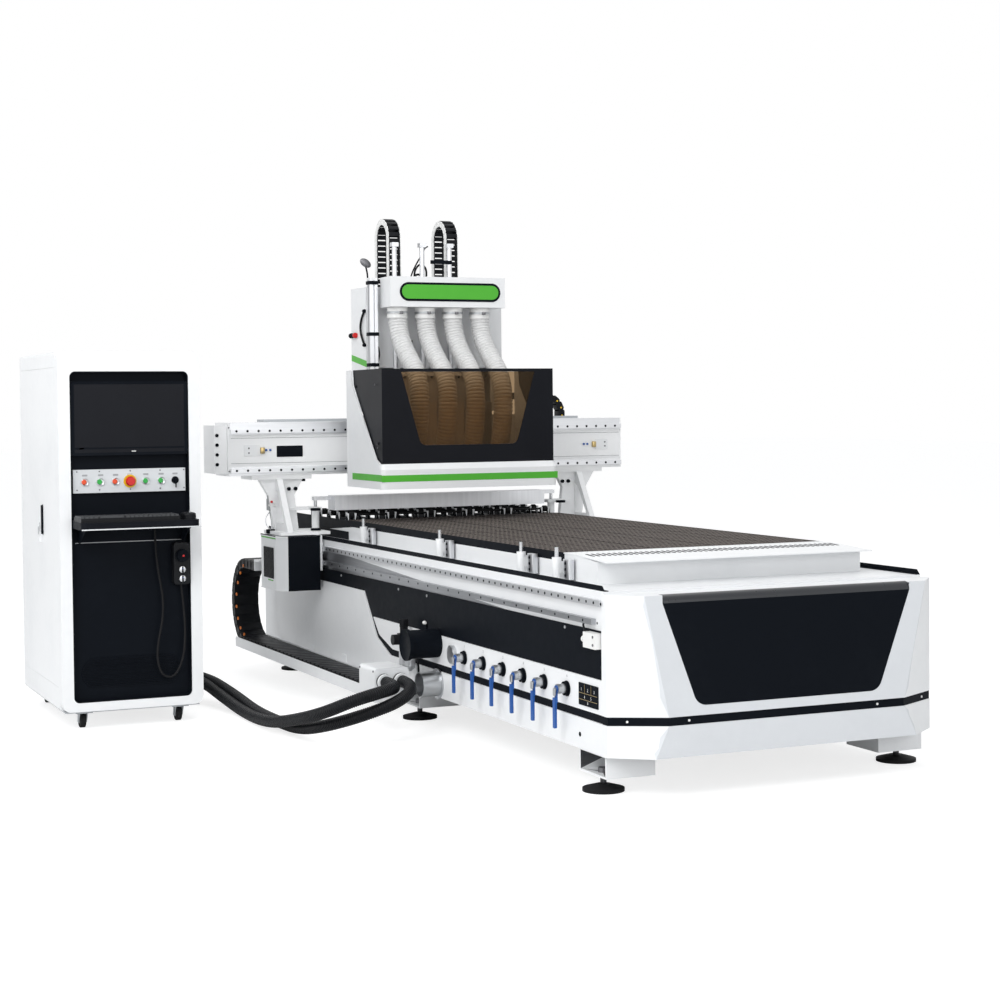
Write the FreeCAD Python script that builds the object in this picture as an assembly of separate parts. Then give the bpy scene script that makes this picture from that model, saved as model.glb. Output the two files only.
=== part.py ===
# A nesting router for sheet boards: a long bed with a zoned vacuum table, a moving
# gantry with a four-spindle head, infeed wheels, six vacuum valves, drag chains and
# a free-standing control cabinet joined to the bed by two floor conduits.
# X runs along the gantry, Y from the unloading end to the infeed end, Z is up.
import FreeCAD, Part
import math
import os

V = FreeCAD.Vector

# sizes, millimetres
fit = 0.3                      # running clearance between pieces that slide or turn
overrun = 2.0                  # how far a cutting shape passes a face

# bed and its casing
bed_half_width = 720.0
bed_length = 4256.0
casing_wall = 4.0
skin = 6.0
seam = 2.0
skirt_bottom = 150.0
stripe_bottom = 268.0
stripe_top = 300.0
casing_top = 750.0
deck_thickness = 8.0
front_bulge = 110.0
fold_low_half = 520.0
fold_high_half = 620.0
fold_foot_half = 575.0
stripe_inset = 3.0
band_bottom = 429.0
band_top = 610.0
rear_skin_top = 544.0
rear_skin_front = 2610.0
rear_skin_knee = 2430.0
rear_skin_toe = 2250.0
rear_skin_knee_z = 335.0
skin_corner = 60.0
panel_top_half = 545.0
panel_foot_half = 400.0
panel_foot = 336.0
panel_corner = 55.0
panel_roll = 30.0
panel_sheet = 3.0
beam_tube_wall = 8.0
upper_tube_width = 140.0
upper_tube_bottom = 570.0
lower_tube_width = 120.0
lower_tube_bottom = 190.0
lower_tube_top = 310.0
frame_front = 40.0
post_width = 110.0
post_count = 4
cross_beam_height = 100.0
cross_beam_width = 90.0
ledge_height = 20.0
ledge_sheet = 3.0
ledge_shelf = 18.0
ledge_front = 16.0
foot_front_y = 146.0
foot_rear_inset = 371.0
foot_rear_y = bed_length - foot_rear_inset
foot_x = 662.0
foot_count = 3
foot_pad_radius = 80.0
foot_pad_height = 26.0
foot_rim_height = 12.0
foot_hub_radius = 30.0
foot_stem_radius = 12.0
foot_nut_radius = 20.0
foot_nut_height = 18.0
bracket_length = 220.0
bracket_height = 88.0
bracket_inner_x = 500.0
bracket_wall = 8.0

# guideway along each side of the bed
rail_z = 714.0
rail_width = 24.0
rail_height = 20.0
rail_waist_share = 0.7
rail_waist_height = 8.0
rail_front = 42.0
rack_z = 641.0
rack_width = 22.0
rack_height = 20.0
rack_front = 110.0

# vacuum table and the boxes at its two ends
table_half_width = 600.0
table_front = 590.0
table_rear = 3150.0
table_top = 862.0
table_plate = 35.0
table_frame_border = 24.0
groove_width = 8.0
groove_depth = 8.0
groove_columns = 12
groove_rows = 6
side_plate = 8.0
white_plate_rear = 3090.0
infeed_rear = 4040.0
infeed_deck_z = 806.0
infeed_plate_top = 858.0
infeed_deck = 8.0
lip_front = 220.0
lip_flat_front = 480.0
lip_sheet = 4.0
lip_drop = 14.0
lip_box_front = 300.0
lip_hole_count = 48
lip_hole_length = 18.0
lip_hole_width = 8.0
lip_hole_y = 560.0
strip_width = 36.0
strip_height = 30.0
rib_count = 6

# infeed wheels
wheel_station_front = 3225.0
wheel_station_pitch = 145.0
wheel_station_count = 5
wheel_row_pitch = 224.0
wheel_row_count = 6
wheel_radius = 17.0
wheel_width = 26.0
wheel_axle_z = 882.0
wheel_axle_radius = 5.0
wheel_edge = 3.0
axle_bearing_height = 18.0
axle_bearing_width = 12.0

# side stop pins, raised by small cylinders on the table side
pin_ys = (576.0, 911.0, 1797.0, 2811.0)
pin_radius = 8.0
pin_rise = 24.0
pin_travel = 45.0
pin_body_radius = 19.0
pin_body_bottom = 766.0
pin_body_top = 846.0
pin_body_depth = 34.0

# vacuum valves, gauge, ports and the air unit on the left side
valve_count = 6
valve_front_y = 340.0
valve_pitch = 201.0
valve_z = 363.0
valve_boss_radius = 27.0
valve_boss_depth = 12.0
valve_body_radius = 19.0
valve_body_depth = 30.0
valve_stem_radius = 6.0
valve_stem_depth = 12.0
valve_handle_length = 150.0
valve_handle_width = 20.0
valve_handle_sheet = 4.0
valve_handle_hub = 14.0
valve_grip_length = 108.0
valve_grip_depth = 9.0
gauge_y = 1465.0
gauge_radius = 40.0
gauge_depth = 16.0
gauge_rim = 4.0
gauge_dial_depth = 4.0
zone_plate_front = 69.0
zone_plate_rear = 230.0
zone_plate_bottom = 318.0
zone_plate_top = 402.0
drum_y = 1655.0
drum_z = 392.0
drum_radius = 64.0
drum_length = 150.0
drum_rim = 6.0
drum_rim_length = 12.0
port_y = 1650.0
port_z = 212.0
port_radius = 56.0
port_wall = 3.0
port_length = 90.0
air_y = 1890.0
air_spacing = 74.0
air_block_width = 58.0
air_block_height = 52.0
air_block_depth = 46.0
air_block_z = 352.0
air_bowl_radius = 23.0
air_bowl_length = 96.0
air_bowl_tip = 16.0
air_knob_radius = 19.0
air_knob_height = 62.0
air_side_knob_radius = 24.0
air_side_knob_length = 34.0
limit_box_front = 46.0
limit_box_length = 98.0
limit_box_bottom = 545.0
limit_box_height = 58.0
limit_box_depth = 26.0

# chain tray beside the bed and its junction box
tray_inner_x = 818.0
tray_outer_x = 1000.0
tray_bottom = 146.0
tray_sheet = 4.0
tray_lip = 52.0
tray_front = 1850.0
tray_rear_inset = 356.0
tray_rear = bed_length - tray_rear_inset
tray_arm_count = 3
tray_arm_width = 60.0
junction_front = 1650.0
junction_inner_x = 858.0
junction_outer_x = 1018.0
junction_height = 150.0
junction_round = 18.0
gland_z = 237.0
gland_radius = 34.0
gland_length = 28.0
gland_rim = 5.0
gland_x_first = 976.0
gland_pitch = 77.0

# drag chain of the gantry
ychain_width = 140.0
ychain_height = 50.0
ychain_radius = 215.0
ychain_link = 80.0
ychain_side = 14.0
ychain_waist = 8.0

# gantry
beam_front = 3451.0
ychain_bend_y = beam_front + 349.0
ychain_top_front = beam_front + 149.0
beam_depth = 240.0
beam_half_length = 1145.0
beam_bottom = 1092.0
beam_top = 1372.0
beam_wall = 10.0
beam_rail_upper = 1327.0
beam_rail_lower = 1120.0
beam_rail_width = 24.0
beam_rail_height = 20.0
beam_groove = 12.0
beam_groove_depth = 3.0
cap_length = 80.0
cap_flange = 12.0
cap_inset = 18.0
cap_drop = 14.0
top_tray_half = 930.0
top_tray_height = 14.0
top_tray_depth = 120.0
leg_flange_outer = 1030.0
leg_flange_inner = 700.0
leg_flange_thickness = 22.0
leg_flange_depth = 200.0
leg_web_outer = 985.0
leg_web_inner = 745.0
leg_web_thickness = 34.0
leg_waist_outer = 935.0
leg_waist_inner = 790.0
leg_waist_z = 985.0
leg_foot_outer = 905.0
leg_foot_inner = 770.0
leg_foot_z = 800.0
leg_foot_plate = 16.0
leg_foot_plate_inner = 664.0
rib_x = 880.0
rib_thickness = 30.0
rib_foot_front = beam_front - 189.0
rib_foot_rear = beam_front + 109.0
rib_head_front = beam_front - 11.0
rib_hole_share = 0.3
drive_front = beam_front - 251.0
drive_rear = beam_front + 69.0
drive_inner_x = 742.0
drive_corner_x = 915.0
drive_outer_x = 962.0
drive_chamfer_y = beam_front - 189.0
drive_bottom = 500.0
drive_top = 780.0
drive_lid = 6.0
drive_lid_lap = 4.0
vent_front = beam_front - 151.0
vent_rear = beam_front + 19.0
vent_bottom = 560.0
vent_top = 720.0
vent_sheet = 3.0
shuttle_plate = 14.0
shuttle_front = beam_front - 245.0
shuttle_rear = beam_front + 189.0
shuttle_bottom = 600.0
block_length = 110.0
block_height = 62.0
block_inset = 40.0
chain_arm_thickness = 10.0
button_box_width = 52.0
button_box_height = 62.0
button_box_depth = 34.0
button_box_z = 905.0

# sheet pusher under the beam
pusher_half_length = 612.0
pusher_front = beam_front - 116.0
pusher_depth = 110.0
pusher_bottom = 903.0
pusher_height = 76.0
pusher_wall = 4.0
pusher_travel = 36.0
pusher_arm_z = 955.0
pusher_arm_height = 20.0
lift_x = 692.0
lift_y = beam_front - 31.0
lift_radius = 20.0
lift_rod_radius = 9.0
lift_bottom = 803.0
lift_top = 920.0
lift_clamp = 16.0

# drag chain behind the beam
xchain_gap = 14.0
xchain_width = 70.0
xchain_height = 36.0
xchain_radius = 105.0
xchain_bend_x = 800.0
xchain_bend_z = 1397.0
xchain_fixed_x = -100.0
xchain_carried_x = 60.0

# head carriage
head_x = -56.0
carriage_half = 360.0
carriage_plate = 22.0
carriage_bottom = 1062.0
carriage_top = 1400.0
carriage_block_length = 90.0
carriage_block_height = 60.0
carriage_block_x = 215.0
cover_half = 490.0
cover_front = beam_front - 656.0
cover_rear = beam_front - 133.0
cover_bottom = 1029.0
cover_shoulder = 1128.0
cover_belt = 1157.0
cover_top = 1640.0
cover_sheet = 6.0
cover_shoulder_inset = 22.0
cover_corner = 26.0
tie_width = 26.0
screen_inset = 12.0
screen_sheet = 4.0
screen_side_rear = beam_front - 206.0
screen_side_knee = 1560.0
screen_side_toe = beam_front - 576.0
window_top_half = 372.0
window_foot_half = 268.0
window_foot = 1250.0
window_top = 1624.0
window_corner = 40.0
window_sheet = 4.0
floor_z = 1040.0
floor_sheet = 6.0
floor_slot_half = 60.0

# dust manifold, housing and post above the head
manifold_half = 326.0
manifold_front = beam_front - 371.0
manifold_depth = 150.0
manifold_bottom = 1968.0
manifold_top = 2126.0
manifold_wall = 4.0
housing_half = 390.0
housing_front = beam_front - 176.0
housing_rear = beam_front + 59.0
housing_bottom = 1420.0
housing_top = 2080.0
housing_wall = 5.0
post_x = -430.0
post_y = beam_front - 229.0
post_size = 44.0
post_slot = 10.0
post_bottom = 1640.0
post_top = 2110.0
post_cap = 14.0
post_foot = 10.0
bridge_height = 40.0
bridge_z = 1985.0

# dust hoses
hose_radius = 50.0
hose_root = 46.0
hose_bore = 42.0
hose_y = beam_front - 301.0
hose_pitch = 156.0
hose_first_x = -318.0
hose_rib_count = 24
hose_collar = 52.5
hose_collar_height = 22.0

# vertical slide, spindles and their cylinders
slide_half = 320.0
slide_plate = 25.0
slide_bottom = 1190.0
slide_top = 1610.0
slide_travel = 150.0
slide_rail_width = 30.0
slide_rail_depth = 22.0
slide_rail_x = 180.0
slide_gap = 6.0
slide_block_half = 35.0
slide_block_height = 60.0
spindle_pitch = 157.0
spindle_count = 4
spindle_y = beam_front - 235.0
spindle_side = 100.0
spindle_bottom = 1200.0
spindle_top = 1470.0
spindle_corner = 12.0
spindle_nose_radius = 34.0
spindle_nose = 40.0
spindle_travel = 60.0
guide_depth = 14.0
guide_width = 70.0
guide_overlap = 6.0
collet_radius = 21.0
collet_length = 34.0
collet_gap = 1.0
tool_radius = 6.0
tool_length = 46.0
shaft_radius = 12.0
cylinder_radius = 13.0
cylinder_y = beam_front - 197.0
cylinder_bore = 90.0
cylinder_top = 2316.0
cylinder_head = 18.0
cylinder_head_height = 22.0
cylinder_count = 3
cylinder_bracket = 20.0
rod_radius = 6.0

# drag chains of the vertical slide, standing on the housing
zchain_width = 72.0
zchain_height = 34.0
zchain_radius = 90.0
zchain_top = 2452.0
zchain_offsets = (-221.0, 109.0)
zchain_y = beam_front - 59.0

# control cabinet
cabinet_x = -1911.0
cabinet_half = 325.0
cabinet_front = 2400.0
cabinet_depth = 950.0
cabinet_bottom = 82.0
cabinet_top = 1712.0
cabinet_wall = 3.0
cabinet_round = 42.0
cabinet_frame_depth = 60.0
fascia_half = 272.0
fascia_bottom = 122.0
fascia_top = 1620.0
fascia_round = 26.0
fascia_recess = 38.0
fascia_sheet = 4.0
louvre_half = 228.0
louvre_z = 250.0
louvre_half_height = 66.0
louvre_depth = 1.5
louvre_slot_count = 4
louvre_slot_height = 10.0
door_front_y = 2480.0
door_rear_y = 3330.0
door_bottom = 190.0
door_top = 1640.0
door_sheet = 3.0
door_gap = 0.8
door_hinge_radius = 6.0
door_return = 16.0
handle_y = 2800.0
handle_bottom = 868.0
handle_top = 1004.0
handle_width = 24.0
handle_depth = 8.0
key_drop = 34.0
key_width = 14.0
key_sheet = 2.0
mount_plate = 4.0
drive_unit_width = 110.0
drive_unit_height = 220.0
drive_unit_depth = 150.0
drive_unit_count = 4
base_plate = 6.0
monitor_half = 265.0
monitor_bottom = 1240.0
monitor_top = 1574.0
monitor_depth = 34.0
monitor_bezel = 14.0
monitor_glass = 1.0
strip_half = 258.0
strip_bottom = 1070.0
strip_top = 1176.0
strip_sheet = 4.0
strip_standoff = 12.0
button_z = 1120.0
button_pitch = 70.0
button_radius = 11.0
button_length = 13.0
button_travel = 4.0
button_collar = 15.0
button_collar_height = 6.0
estop_radius = 22.0
estop_length = 24.0
estop_neck_radius = 9.0
estop_travel = 6.0
estop_ring_radius = 32.0
estop_ring_height = 3.0
key_switch_radius = 13.0
key_switch_depth = 8.0
shelf_half = 272.0
shelf_front = 2185.0
shelf_rear = 2436.0
shelf_top = 948.0
shelf_thickness = 34.0
shelf_round = 40.0
shelf_bracket = 70.0
shelf_bracket_sheet = 4.0
keyboard_half = 223.0
keyboard_front = 2215.0
keyboard_depth = 150.0
keyboard_height = 18.0
keyboard_x = -1955.0
key_rows = 5
key_block_height = 5.0
key_row_gap = 4.0
keyboard_margin = 8.0
mouse_x = -1683.0
mouse_radius = 30.0
mouse_height = 30.0
mouse_length = 100.0
knob_radius = 9.0
knob_length = 14.0
pendant_x = -1684.0
pendant_front = 2384.0
pendant_depth = 46.0
pendant_half = 37.0
pendant_bottom = 640.0
pendant_top = 832.0
pendant_round = 14.0
handwheel_z = 774.0
handwheel_radius = 30.0
handwheel_thickness = 12.0
handwheel_grip = 6.0
handwheel_rim = 18.0
selector_radius = 14.0
selector_height = 9.0
selector_zs = (709.0, 667.0)
caster_x = 222.0
caster_front_y = 2462.0
caster_rear_y = 3285.0
caster_radius = 34.0
caster_width = 26.0
caster_edge = 3.0
caster_fork_gap = 3.0
caster_fork_sheet = 4.0
caster_fork_half = 20.0
caster_plate_half = 38.0
caster_plate = 5.0
caster_axle_radius = 5.0
caster_trail = 18.0

# conduits and the cord of the hand pendant
conduit_radius = 27.0
conduit_elbow = 45.0
cord_radius = 5.0


# shape helpers
def block(x0, x1, y0, y1, z0, z1):
    low = V(min(x0, x1), min(y0, y1), min(z0, z1))
    return Part.makeBox(abs(x1 - x0), abs(y1 - y0), abs(z1 - z0), low)


def rod(radius, start, end):
    start, end = V(*start), V(*end)
    return Part.makeCylinder(radius, (end - start).Length, start, end - start)


def pipe_piece(outer, inner, start, end):
    return rod(outer, start, end).cut(rod(inner, start, end))


def outline(points, radii=0):
    """Closed wire through points, each corner rounded by a tangent arc."""
    count = len(points)
    if not isinstance(radii, (list, tuple)):
        radii = [radii] * count
    edges = []
    ends = []
    for i in range(count):
        here, radius = points[i], radii[i]
        before = (points[i - 1] - here).normalize()
        after = (points[(i + 1) % count] - here).normalize()
        if radius <= 0:
            ends.append((here, None, here))
            continue
        half = before.getAngle(after) / 2
        reach = radius / math.tan(half)
        middle = (before + after).normalize()
        centre = here + middle * (radius / math.sin(half))
        ends.append((here + before * reach, centre - middle * radius, here + after * reach))
    for i in range(count):
        first, mid, last = ends[i]
        if mid is not None:
            edges.append(Part.Arc(first, mid, last).toShape())
        following = ends[(i + 1) % count][0]
        if (following - last).Length > 1e-6:
            edges.append(Part.LineSegment(last, following).toShape())
    return Part.Wire(edges)


def plate(axis, start, end, points, radii=0):
    """Flat outline extruded along one axis; points lie in the other two axes."""
    if axis == "x":
        corners = [V(start, a, b) for a, b in points]
        reach = V(end - start, 0, 0)
    elif axis == "y":
        corners = [V(a, start, b) for a, b in points]
        reach = V(0, end - start, 0)
    else:
        corners = [V(a, b, start) for a, b in points]
        reach = V(0, 0, end - start)
    return Part.Face(outline(corners, radii)).extrude(reach)


def slab(axis, start, end, a0, a1, b0, b1, radii=0):
    return plate(axis, start, end, [(a0, b0), (a1, b0), (a1, b1), (a0, b1)], radii)


def between(low_wire, high_wire):
    return Part.makeLoft([low_wire, high_wire], True, True)


def turned(profile, origin, axis):
    """Solid of revolution; profile points are (radius, height along the axis)."""
    axis = V(*axis).normalize()
    side = V(0, 0, 1) if abs(axis.z) < 0.5 else V(1, 0, 0)
    side = (side - axis * side.dot(axis)).normalize()
    corners = [V(*origin) + side * r + axis * h for r, h in profile]
    face = Part.Face(Part.makePolygon(corners + [corners[0]]))
    return face.revolve(V(*origin), axis, 360)


def mirrored(shape):
    return shape.mirror(V(0, 0, 0), V(1, 0, 0))


def both_sides(shapes):
    return list(shapes) + [mirrored(s) for s in shapes]


def fused(shapes):
    whole = shapes[0].multiFuse(shapes[1:]) if len(shapes) > 1 else shapes[0]
    return whole.removeSplitter()


def pack(shapes):
    solids = []
    for shape in shapes:
        solids.extend(shape.Solids)
    return Part.makeCompound(solids)


def spread(first, last, count):
    step = (last - first) / (count - 1)
    return [first + step * i for i in range(count)]


def route(points, arc_share=0.45):
    """Straight runs joined by tangent arcs as large as the runs allow."""
    points = [V(*p) for p in points]
    edges = []
    radii = []
    last = points[0]
    for i in range(1, len(points) - 1):
        here = points[i]
        back, ahead = points[i - 1] - here, points[i + 1] - here
        turn = math.pi - back.getAngle(ahead)
        radius = arc_share * min(back.Length, ahead.Length) / math.tan(turn / 2)
        reach = radius * math.tan(turn / 2)
        back.normalize()
        ahead.normalize()
        middle = (back + ahead).normalize()
        centre = here + middle * (radius / math.cos(turn / 2))
        first, mid, end = here + back * reach, centre - middle * radius, here + ahead * reach
        edges.append(Part.LineSegment(last, first).toShape())
        edges.append(Part.Arc(first, mid, end).toShape())
        radii.append(radius)
        last = end
    edges.append(Part.LineSegment(last, points[-1]).toShape())
    return Part.Wire(edges), radii


def tube_along(points, radius):
    path, radii = route(points)
    start = V(*points[0])
    heading = V(*points[1]) - start
    ring = Part.Wire(Part.makeCircle(radius, start, heading))
    return path.makePipeShell([ring], True, False), radii, path.Length


def chain_bar(axis, start, end, a0, a1, b0, b1, links, waist):
    """Drag-chain run: a bar with a shallow notch on both faces at every joint."""
    bar = slab(axis, start, end, a0, a1, b0, b1)
    pitch = (end - start) / links
    cuts = []
    for i in range(1, links):
        at = start + pitch * i
        cuts.append(slab(axis, at - waist / 2, at + waist / 2, a0, a1, b1 - waist / 2, b1 + waist))
        cuts.append(slab(axis, at - waist / 2, at + waist / 2, a0, a1, b0 - waist, b0 + waist / 2))
    return bar.cut(Part.makeCompound(cuts)) if cuts else bar


# worked-out places
side_face = bed_half_width - seam - 2 * skin          # steel face that the skins cover
skin_back = side_face + skin
skin_front = skin_back + skin
foot_ys = spread(foot_front_y, foot_rear_y, foot_count)
post_ys = spread(foot_front_y + post_width, foot_rear_y - post_width, post_count)
rail_face = side_face + rail_height
valve_ys = [valve_front_y + valve_pitch * (valve_count - 1 - i) for i in range(valve_count)]
wheel_ys = [wheel_station_front + wheel_station_pitch * i for i in range(wheel_station_count)]
wheel_xs = [wheel_row_pitch * (i - (wheel_row_count - 1) / 2) for i in range(wheel_row_count)]
spindle_xs = [head_x + spindle_pitch * (i - (spindle_count - 1) / 2) for i in range(spindle_count)]
hose_xs = [hose_first_x + hose_pitch * i for i in range(spindle_count)]
gland_xs = [-gland_x_first, -gland_x_first + gland_pitch]
gland_y = junction_front - gland_length
fascia_y = cabinet_front + fascia_recess
pin_x = table_half_width + side_plate + pin_body_depth
ychain_x0 = -(tray_outer_x + tray_inner_x + ychain_width) / 2
ychain_x1 = ychain_x0 + ychain_width
ychain_low = tray_bottom + tray_sheet + fit
ychain_mid_z = ychain_low + ychain_height / 2 + ychain_radius
ychain_top_z = ychain_mid_z + ychain_radius - ychain_height / 2
beam_rear = beam_front + beam_depth
rail_front_face = beam_front - beam_rail_height
carriage_front = rail_front_face - fit - carriage_plate


# bed
def hollow_tube(x0, x1, y0, y1, z0, z1, wall):
    outer = block(x0, x1, y0, y1, z0, z1)
    low, high = min(x0, x1) + wall, max(x0, x1) - wall
    return outer.cut(block(low, high, y0 - overrun, y1 + overrun, z0 + wall, z1 - wall))


def foot(y):
    pad = turned([(0, 0), (foot_pad_radius, 0), (foot_pad_radius, foot_rim_height),
                  (foot_hub_radius, foot_pad_height), (0, foot_pad_height)],
                 (foot_x, y, 0), (0, 0, 1))
    stem_top = skirt_bottom
    plate_z = skirt_bottom - bracket_height
    stem = rod(foot_stem_radius, (foot_x, y, foot_pad_height), (foot_x, y, plate_z))
    nut = rod(foot_nut_radius, (foot_x, y, plate_z + bracket_wall),
              (foot_x, y, plate_z + bracket_wall + foot_nut_height))
    half = bracket_length / 2
    shoe = block(bracket_inner_x, side_face, y - half, y + half, plate_z, lower_tube_bottom)
    hollow = block(bracket_inner_x + bracket_wall, side_face + overrun, y - half + bracket_wall,
                   y + half - bracket_wall, plate_z + bracket_wall, stem_top - bracket_wall)
    return fused([pad, stem]), fused([shoe.cut(hollow), nut])


def rail_bar(y0, y1, face, z, width, height):
    waist = width * rail_waist_share / 2
    half = width / 2
    side = [(face, z - half), (face + height - rail_waist_height, z - half),
            (face + height - rail_waist_height / 2, z - waist), (face + height, z - half),
            (face + height, z + half), (face + height - rail_waist_height / 2, z + waist),
            (face + height - rail_waist_height, z + half), (face, z + half)]
    return plate("y", y0, y1, side)


def bed_frame():
    rear = bed_length - frame_front
    inner = side_face - upper_tube_width
    low_inner = side_face - lower_tube_width
    deck_low = casing_top
    one_side = [hollow_tube(inner, side_face, frame_front, rear, upper_tube_bottom,
                            deck_low, beam_tube_wall),
                hollow_tube(low_inner, side_face, frame_front, rear, lower_tube_bottom,
                            lower_tube_top, beam_tube_wall)]
    for y in post_ys:
        half = post_width / 2
        one_side.append(block(low_inner, low_inner + post_width, y - half, y + half,
                              lower_tube_top, upper_tube_bottom))
    shoes, feet = [], []
    for y in foot_ys:
        pad, shoe = foot(y)
        feet.append(pad)
        shoes.append(shoe)
    steel = both_sides(one_side + shoes)
    for y in post_ys:
        half = cross_beam_width / 2
        steel.append(block(-inner, inner, y - half, y + half,
                           deck_low - cross_beam_height, deck_low))
        steel.append(block(-low_inner, low_inner, y - half, y + half,
                           lower_tube_bottom, lower_tube_bottom + cross_beam_height))
    steel.append(block(-side_face, side_face, frame_front, rear, deck_low,
                       deck_low + deck_thickness))
    rail = rail_bar(rail_front, rear, side_face, rail_z, rail_width, rail_height)
    rack = block(side_face, side_face + rack_height, rack_front, rear,
                 rack_z - rack_width / 2, rack_z + rack_width / 2)
    return pack([fused(steel)] + both_sides(feet + [rail, rack]))


def side_skins():
    """White plates of one side: the high rear panel, the skirt and the valve panel."""
    rear = bed_length - skin
    front = frame_front + fit
    skirt = [(front, skirt_bottom), (rear, skirt_bottom), (rear, rear_skin_top),
             (rear_skin_front, rear_skin_top), (rear_skin_knee, rear_skin_knee_z),
             (rear_skin_toe, stripe_bottom), (front, stripe_bottom)]
    corner = [0, 0, 0, skin, skin_corner, skin_corner, 0]
    gap = stripe_top - stripe_bottom
    lean = (rear_skin_front - rear_skin_knee) / (rear_skin_top - rear_skin_knee_z)
    knee = rear_skin_knee - gap
    valve = [(front, stripe_top), (rear_skin_toe - gap, stripe_top),
             (knee, rear_skin_knee_z + gap / 2),
             (knee + lean * (band_bottom - rear_skin_knee_z), band_bottom),
             (front, band_bottom)]
    lower = plate("x", skin_back, skin_front, skirt, corner)
    panel = plate("x", skin_back, skin_front, valve, [0, skin_corner, skin_corner, 0, 0])
    return [lower, panel]


def plan(half, front, z, back, inset=0.0):
    side = bed_half_width - inset
    corners = [V(-side, back, z), V(-side, 0, z), V(-half, front, z),
               V(half, front, z), V(side, 0, z), V(side, back, z)]
    return Part.makePolygon(corners + [corners[0]])


def faceted(z0, z1, half0, half1, depth, wall):
    """Front casing course with folded corners, open at the back."""
    front = -front_bulge
    outer = between(plan(half0, front, z0, depth), plan(half1, front, z1, depth))
    low = plan(half0 - wall, front + wall, z0, depth + overrun, wall)
    high = plan(half1 - wall, front + wall, z1, depth + overrun, wall)
    return outer.cut(between(low, high))


def panel_outline():
    return [(-panel_top_half, casing_top - panel_roll), (-panel_foot_half, panel_foot),
            (panel_foot_half, panel_foot), (panel_top_half, casing_top - panel_roll)]


def front_casing():
    depth = frame_front - fit
    upper = faceted(stripe_top, casing_top, fold_low_half, fold_high_half, depth, casing_wall)
    lower = faceted(skirt_bottom, stripe_bottom, fold_foot_half, fold_low_half, depth, casing_wall)
    wall_back = -front_bulge + casing_wall + overrun
    hole = plate("y", -front_bulge - overrun, wall_back, panel_outline(),
                 [0, panel_corner, panel_corner, 0])
    hole_top = slab("y", -front_bulge - overrun, wall_back, -panel_top_half, panel_top_half,
                    casing_top - panel_roll, casing_top + overrun)
    lid = Part.Face(plan(fold_high_half - seam, -front_bulge + seam, casing_top - casing_wall,
                         depth, seam)).extrude(V(0, 0, casing_wall))
    lid = lid.cut(block(-panel_top_half, panel_top_half, -front_bulge - overrun,
                        -front_bulge + panel_roll + casing_wall + fit, 0, casing_top + overrun))
    shell = upper.cut(hole.fuse(hole_top))
    return [fused([shell, lid]), lower]


def chain_tray():
    sheet = tray_sheet
    outer = block(-tray_outer_x, -tray_inner_x, tray_front, tray_rear, tray_bottom,
                  tray_bottom + tray_lip)
    trough = block(-tray_outer_x + sheet, -tray_inner_x - sheet, tray_front - overrun,
                   tray_rear + overrun, tray_bottom + sheet, tray_bottom + tray_lip + overrun)
    arms = []
    reach = tray_rear - tray_front
    for i in range(tray_arm_count):
        y = tray_front + reach * (i + 1) / (tray_arm_count + 1)
        arms.append(block(-tray_inner_x, -skin_front, y, y + tray_arm_width, tray_bottom,
                          tray_bottom + sheet))
        arms.append(block(-skin_front - sheet, -skin_front, y, y + tray_arm_width, tray_bottom,
                          tray_bottom + tray_lip))
    top = tray_bottom + junction_height
    shell = slab("y", junction_front, tray_front, -junction_outer_x, -junction_inner_x,
                 tray_bottom, top, [0, 0, junction_round, junction_round])
    cavity = slab("y", junction_front + sheet, tray_front + overrun,
                  -junction_outer_x + sheet, -junction_inner_x - sheet, tray_bottom + sheet,
                  top - sheet, junction_round - sheet)
    shell = shell.cut(cavity)
    for x in gland_xs:
        shell = shell.cut(rod(conduit_radius - gland_rim, (x, junction_front - overrun, gland_z),
                              (x, junction_front + sheet + overrun, gland_z)))
    body = fused([outer.cut(trough), shell] + arms)
    glands = []
    for x in gland_xs:
        ring = rod(gland_radius, (x, gland_y, gland_z), (x, junction_front, gland_z))
        bore = rod(conduit_radius - gland_rim, (x, gland_y - overrun, gland_z),
                   (x, junction_front + overrun, gland_z))
        glands.append(ring.cut(bore))
    return [body] + glands


def bed_casing():
    rear = slab("y", bed_length - skin, bed_length, -skin_front, skin_front, skirt_bottom,
                casing_top)
    return pack(both_sides(side_skins()) + [rear] + front_casing() + chain_tray())


def front_panel():
    """Black front panel, rolled back over the top edge of the casing."""
    lap = casing_wall - fit
    flat = plate("y", -front_bulge + fit, -front_bulge + fit + panel_sheet,
                 [(-panel_top_half + fit, casing_top - panel_roll), (-panel_foot_half + fit, panel_foot + fit),
                  (panel_foot_half - fit, panel_foot + fit), (panel_top_half - fit, casing_top - panel_roll)],
                 [0, panel_corner, panel_corner, 0])
    centre = V(-panel_top_half + fit, -front_bulge + fit + panel_roll, casing_top - panel_roll)
    start = centre + V(0, -panel_roll, 0)
    strip = Part.makePolygon([start, start + V(0, panel_sheet, 0),
                              start + V(2 * (panel_top_half - fit), panel_sheet, 0),
                              start + V(2 * (panel_top_half - fit), 0, 0), start])
    roll = Part.Face(strip).revolve(centre, V(-1, 0, 0), 90)
    back = block(-panel_top_half + fit, panel_top_half - fit, -front_bulge + fit + panel_roll,
                 -front_bulge + fit + panel_roll + lap, casing_top - panel_sheet, casing_top)
    return fused([flat, roll, back])


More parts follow.
